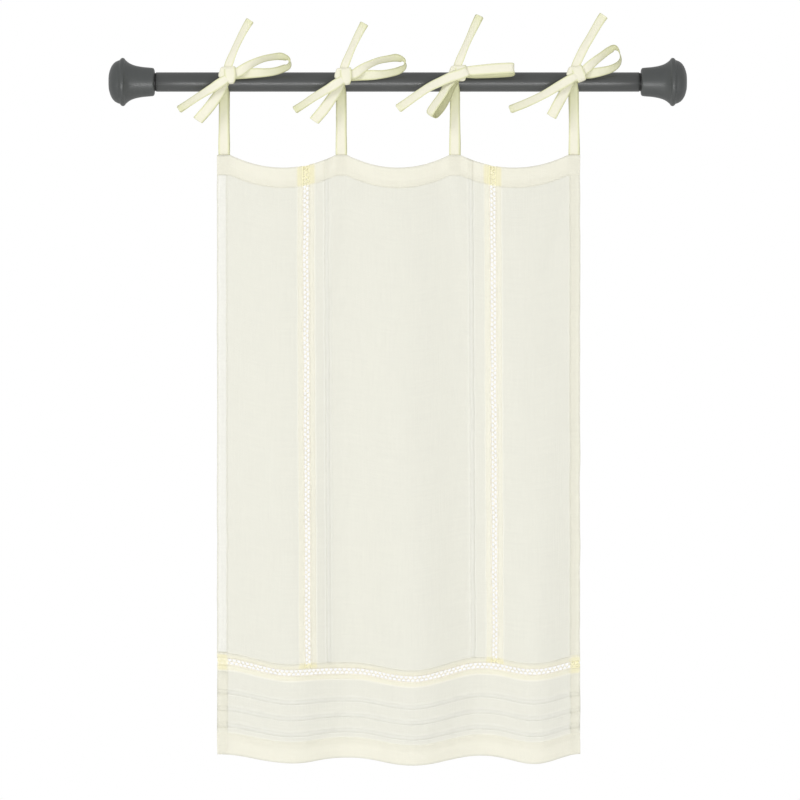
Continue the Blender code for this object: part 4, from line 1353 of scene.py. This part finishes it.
# %% Four ties
STRAP_ASIDE = (-0.0004, 0.0, 0.0, 0.0010)      # of each strap, where it is sewn down
SEWN_DOWN = 0.012                # each is sewn to the curtain this far below its top edge
for number, (across, aside, bow) in enumerate(zip(TIES_ACROSS, STRAP_ASIDE, BOWS), start=1):
    skin = Skin()
    origin = Vector((CURTAIN_LEFT + across, 0.0, 0.0))
    across_knot, up_knot, _, _ = bow["knot"]
    knot_centre = origin + Vector((across_knot, -KNOT_FRONT, up_knot))
    depth = drape(across, SEWN_DOWN).y + stack_at(across) * 3
    length = add_strap(skin, origin, depth, up_knot, aside, number)
    for part in ("tail_up", "loop_right", "tail_down", "loop_left"):
        length += add_bow_ribbon(skin, origin, knot_centre, bow[part], number * 3.1 + len(part),
                                 part.startswith("tail"), part == "tail_down" and "over" in bow)
    add_knot(skin, origin, bow["knot"], bow["slant"], bow["narrow"], number * 1.7)
    tie = tidy_shell(skin.build(f"tie_{number}_tape", tape_linen))
    hand_in(tie, "tie_tape", f"tie_{number}")

# %% [markdown]
# ## Room
# A plain white surround and soft lights, the strongest from the upper left. Only the two
# low strips are mirrored in the rod, as one long soft gleam below its middle.
# The floor is a pale disc far below, out of the front view.

# %% World and lights
world = bpy.data.worlds.new("white_room")
bpy.context.scene.world = world
world.use_nodes = True
AMBIENT = 0.572
surround = Graph(world.node_tree)
backdrop = world.node_tree.nodes["Background"]
backdrop.inputs[0].default_value = (1, 1, 1, 1)
seen = surround.node("ShaderNodeLightPath")
surround.feed(backdrop, Strength=seen * (1.0 - AMBIENT) + AMBIENT)


def soft_light(name, place, target, size, power, height=None, lights=True, shines=False):
    """A disc, or a strip if it has a height. It shines if glossy things mirror it."""
    data = bpy.data.lights.new(name, "AREA")
    data.shape = "RECTANGLE" if height else "DISK"
    data.size = size
    data.size_y = height or size
    data.energy = power
    lamp = bpy.data.objects.new(name, data)
    lamp.location = place
    lamp.rotation_euler = (Vector(target) - Vector(place)).to_track_quat("-Z", "Y").to_euler()
    lamp.visible_camera = False
    lamp.visible_diffuse = lights
    lamp.visible_glossy = shines
    bpy.context.scene.collection.objects.link(lamp)


MIDDLE, ROD_MIDDLE = (0.36, 0.0, -0.4), (0.36, 0.0, 0.0)
soft_light("key_light", (-1.6, -2.2, 1.3), MIDDLE, 1.0, 30)
soft_light("fill_light", (2.4, -2.6, 0.2), MIDDLE, 1.8, 10)
soft_light("low_strip", (0.36, -2.0, -0.93), ROD_MIDDLE, 3.2, 15, 0.22, shines=True)
soft_light("gleam_strip", (0.36, -2.0, -0.90), ROD_MIDDLE, 3.2, 9, 0.14,
           lights=False, shines=True)
soft_light("back_light", (0.4, 2.6, 1.0), MIDDLE, 1.8, 8)

FLOOR_LEVEL, FLOOR_RADIUS, HUB_RADIUS, FLOOR_STEPS = -1.6, 2.4, 0.01, 64
ring = [step * 2 * math.pi / FLOOR_STEPS for step in range(FLOOR_STEPS)]
floor_rows = [[(0.36 + r * math.cos(a), r * math.sin(a), FLOOR_LEVEL) for a in ring]
              for r in (HUB_RADIUS, FLOOR_RADIUS)]
floor_skin = Skin()
hub = floor_skin.add_rows(floor_rows, [[(0, 0)] * FLOOR_STEPS] * 2, closed=True)
floor_skin.close_end(hub, FLOOR_STEPS)
floor_material, _, floor_shader = new_material("pale_floor", 0.7)
floor_shader.inputs["Base Color"].default_value = (0.85, 0.85, 0.84, 1)
floor = tidy_shell(floor_skin.build("floor", floor_material))
print("room ready")
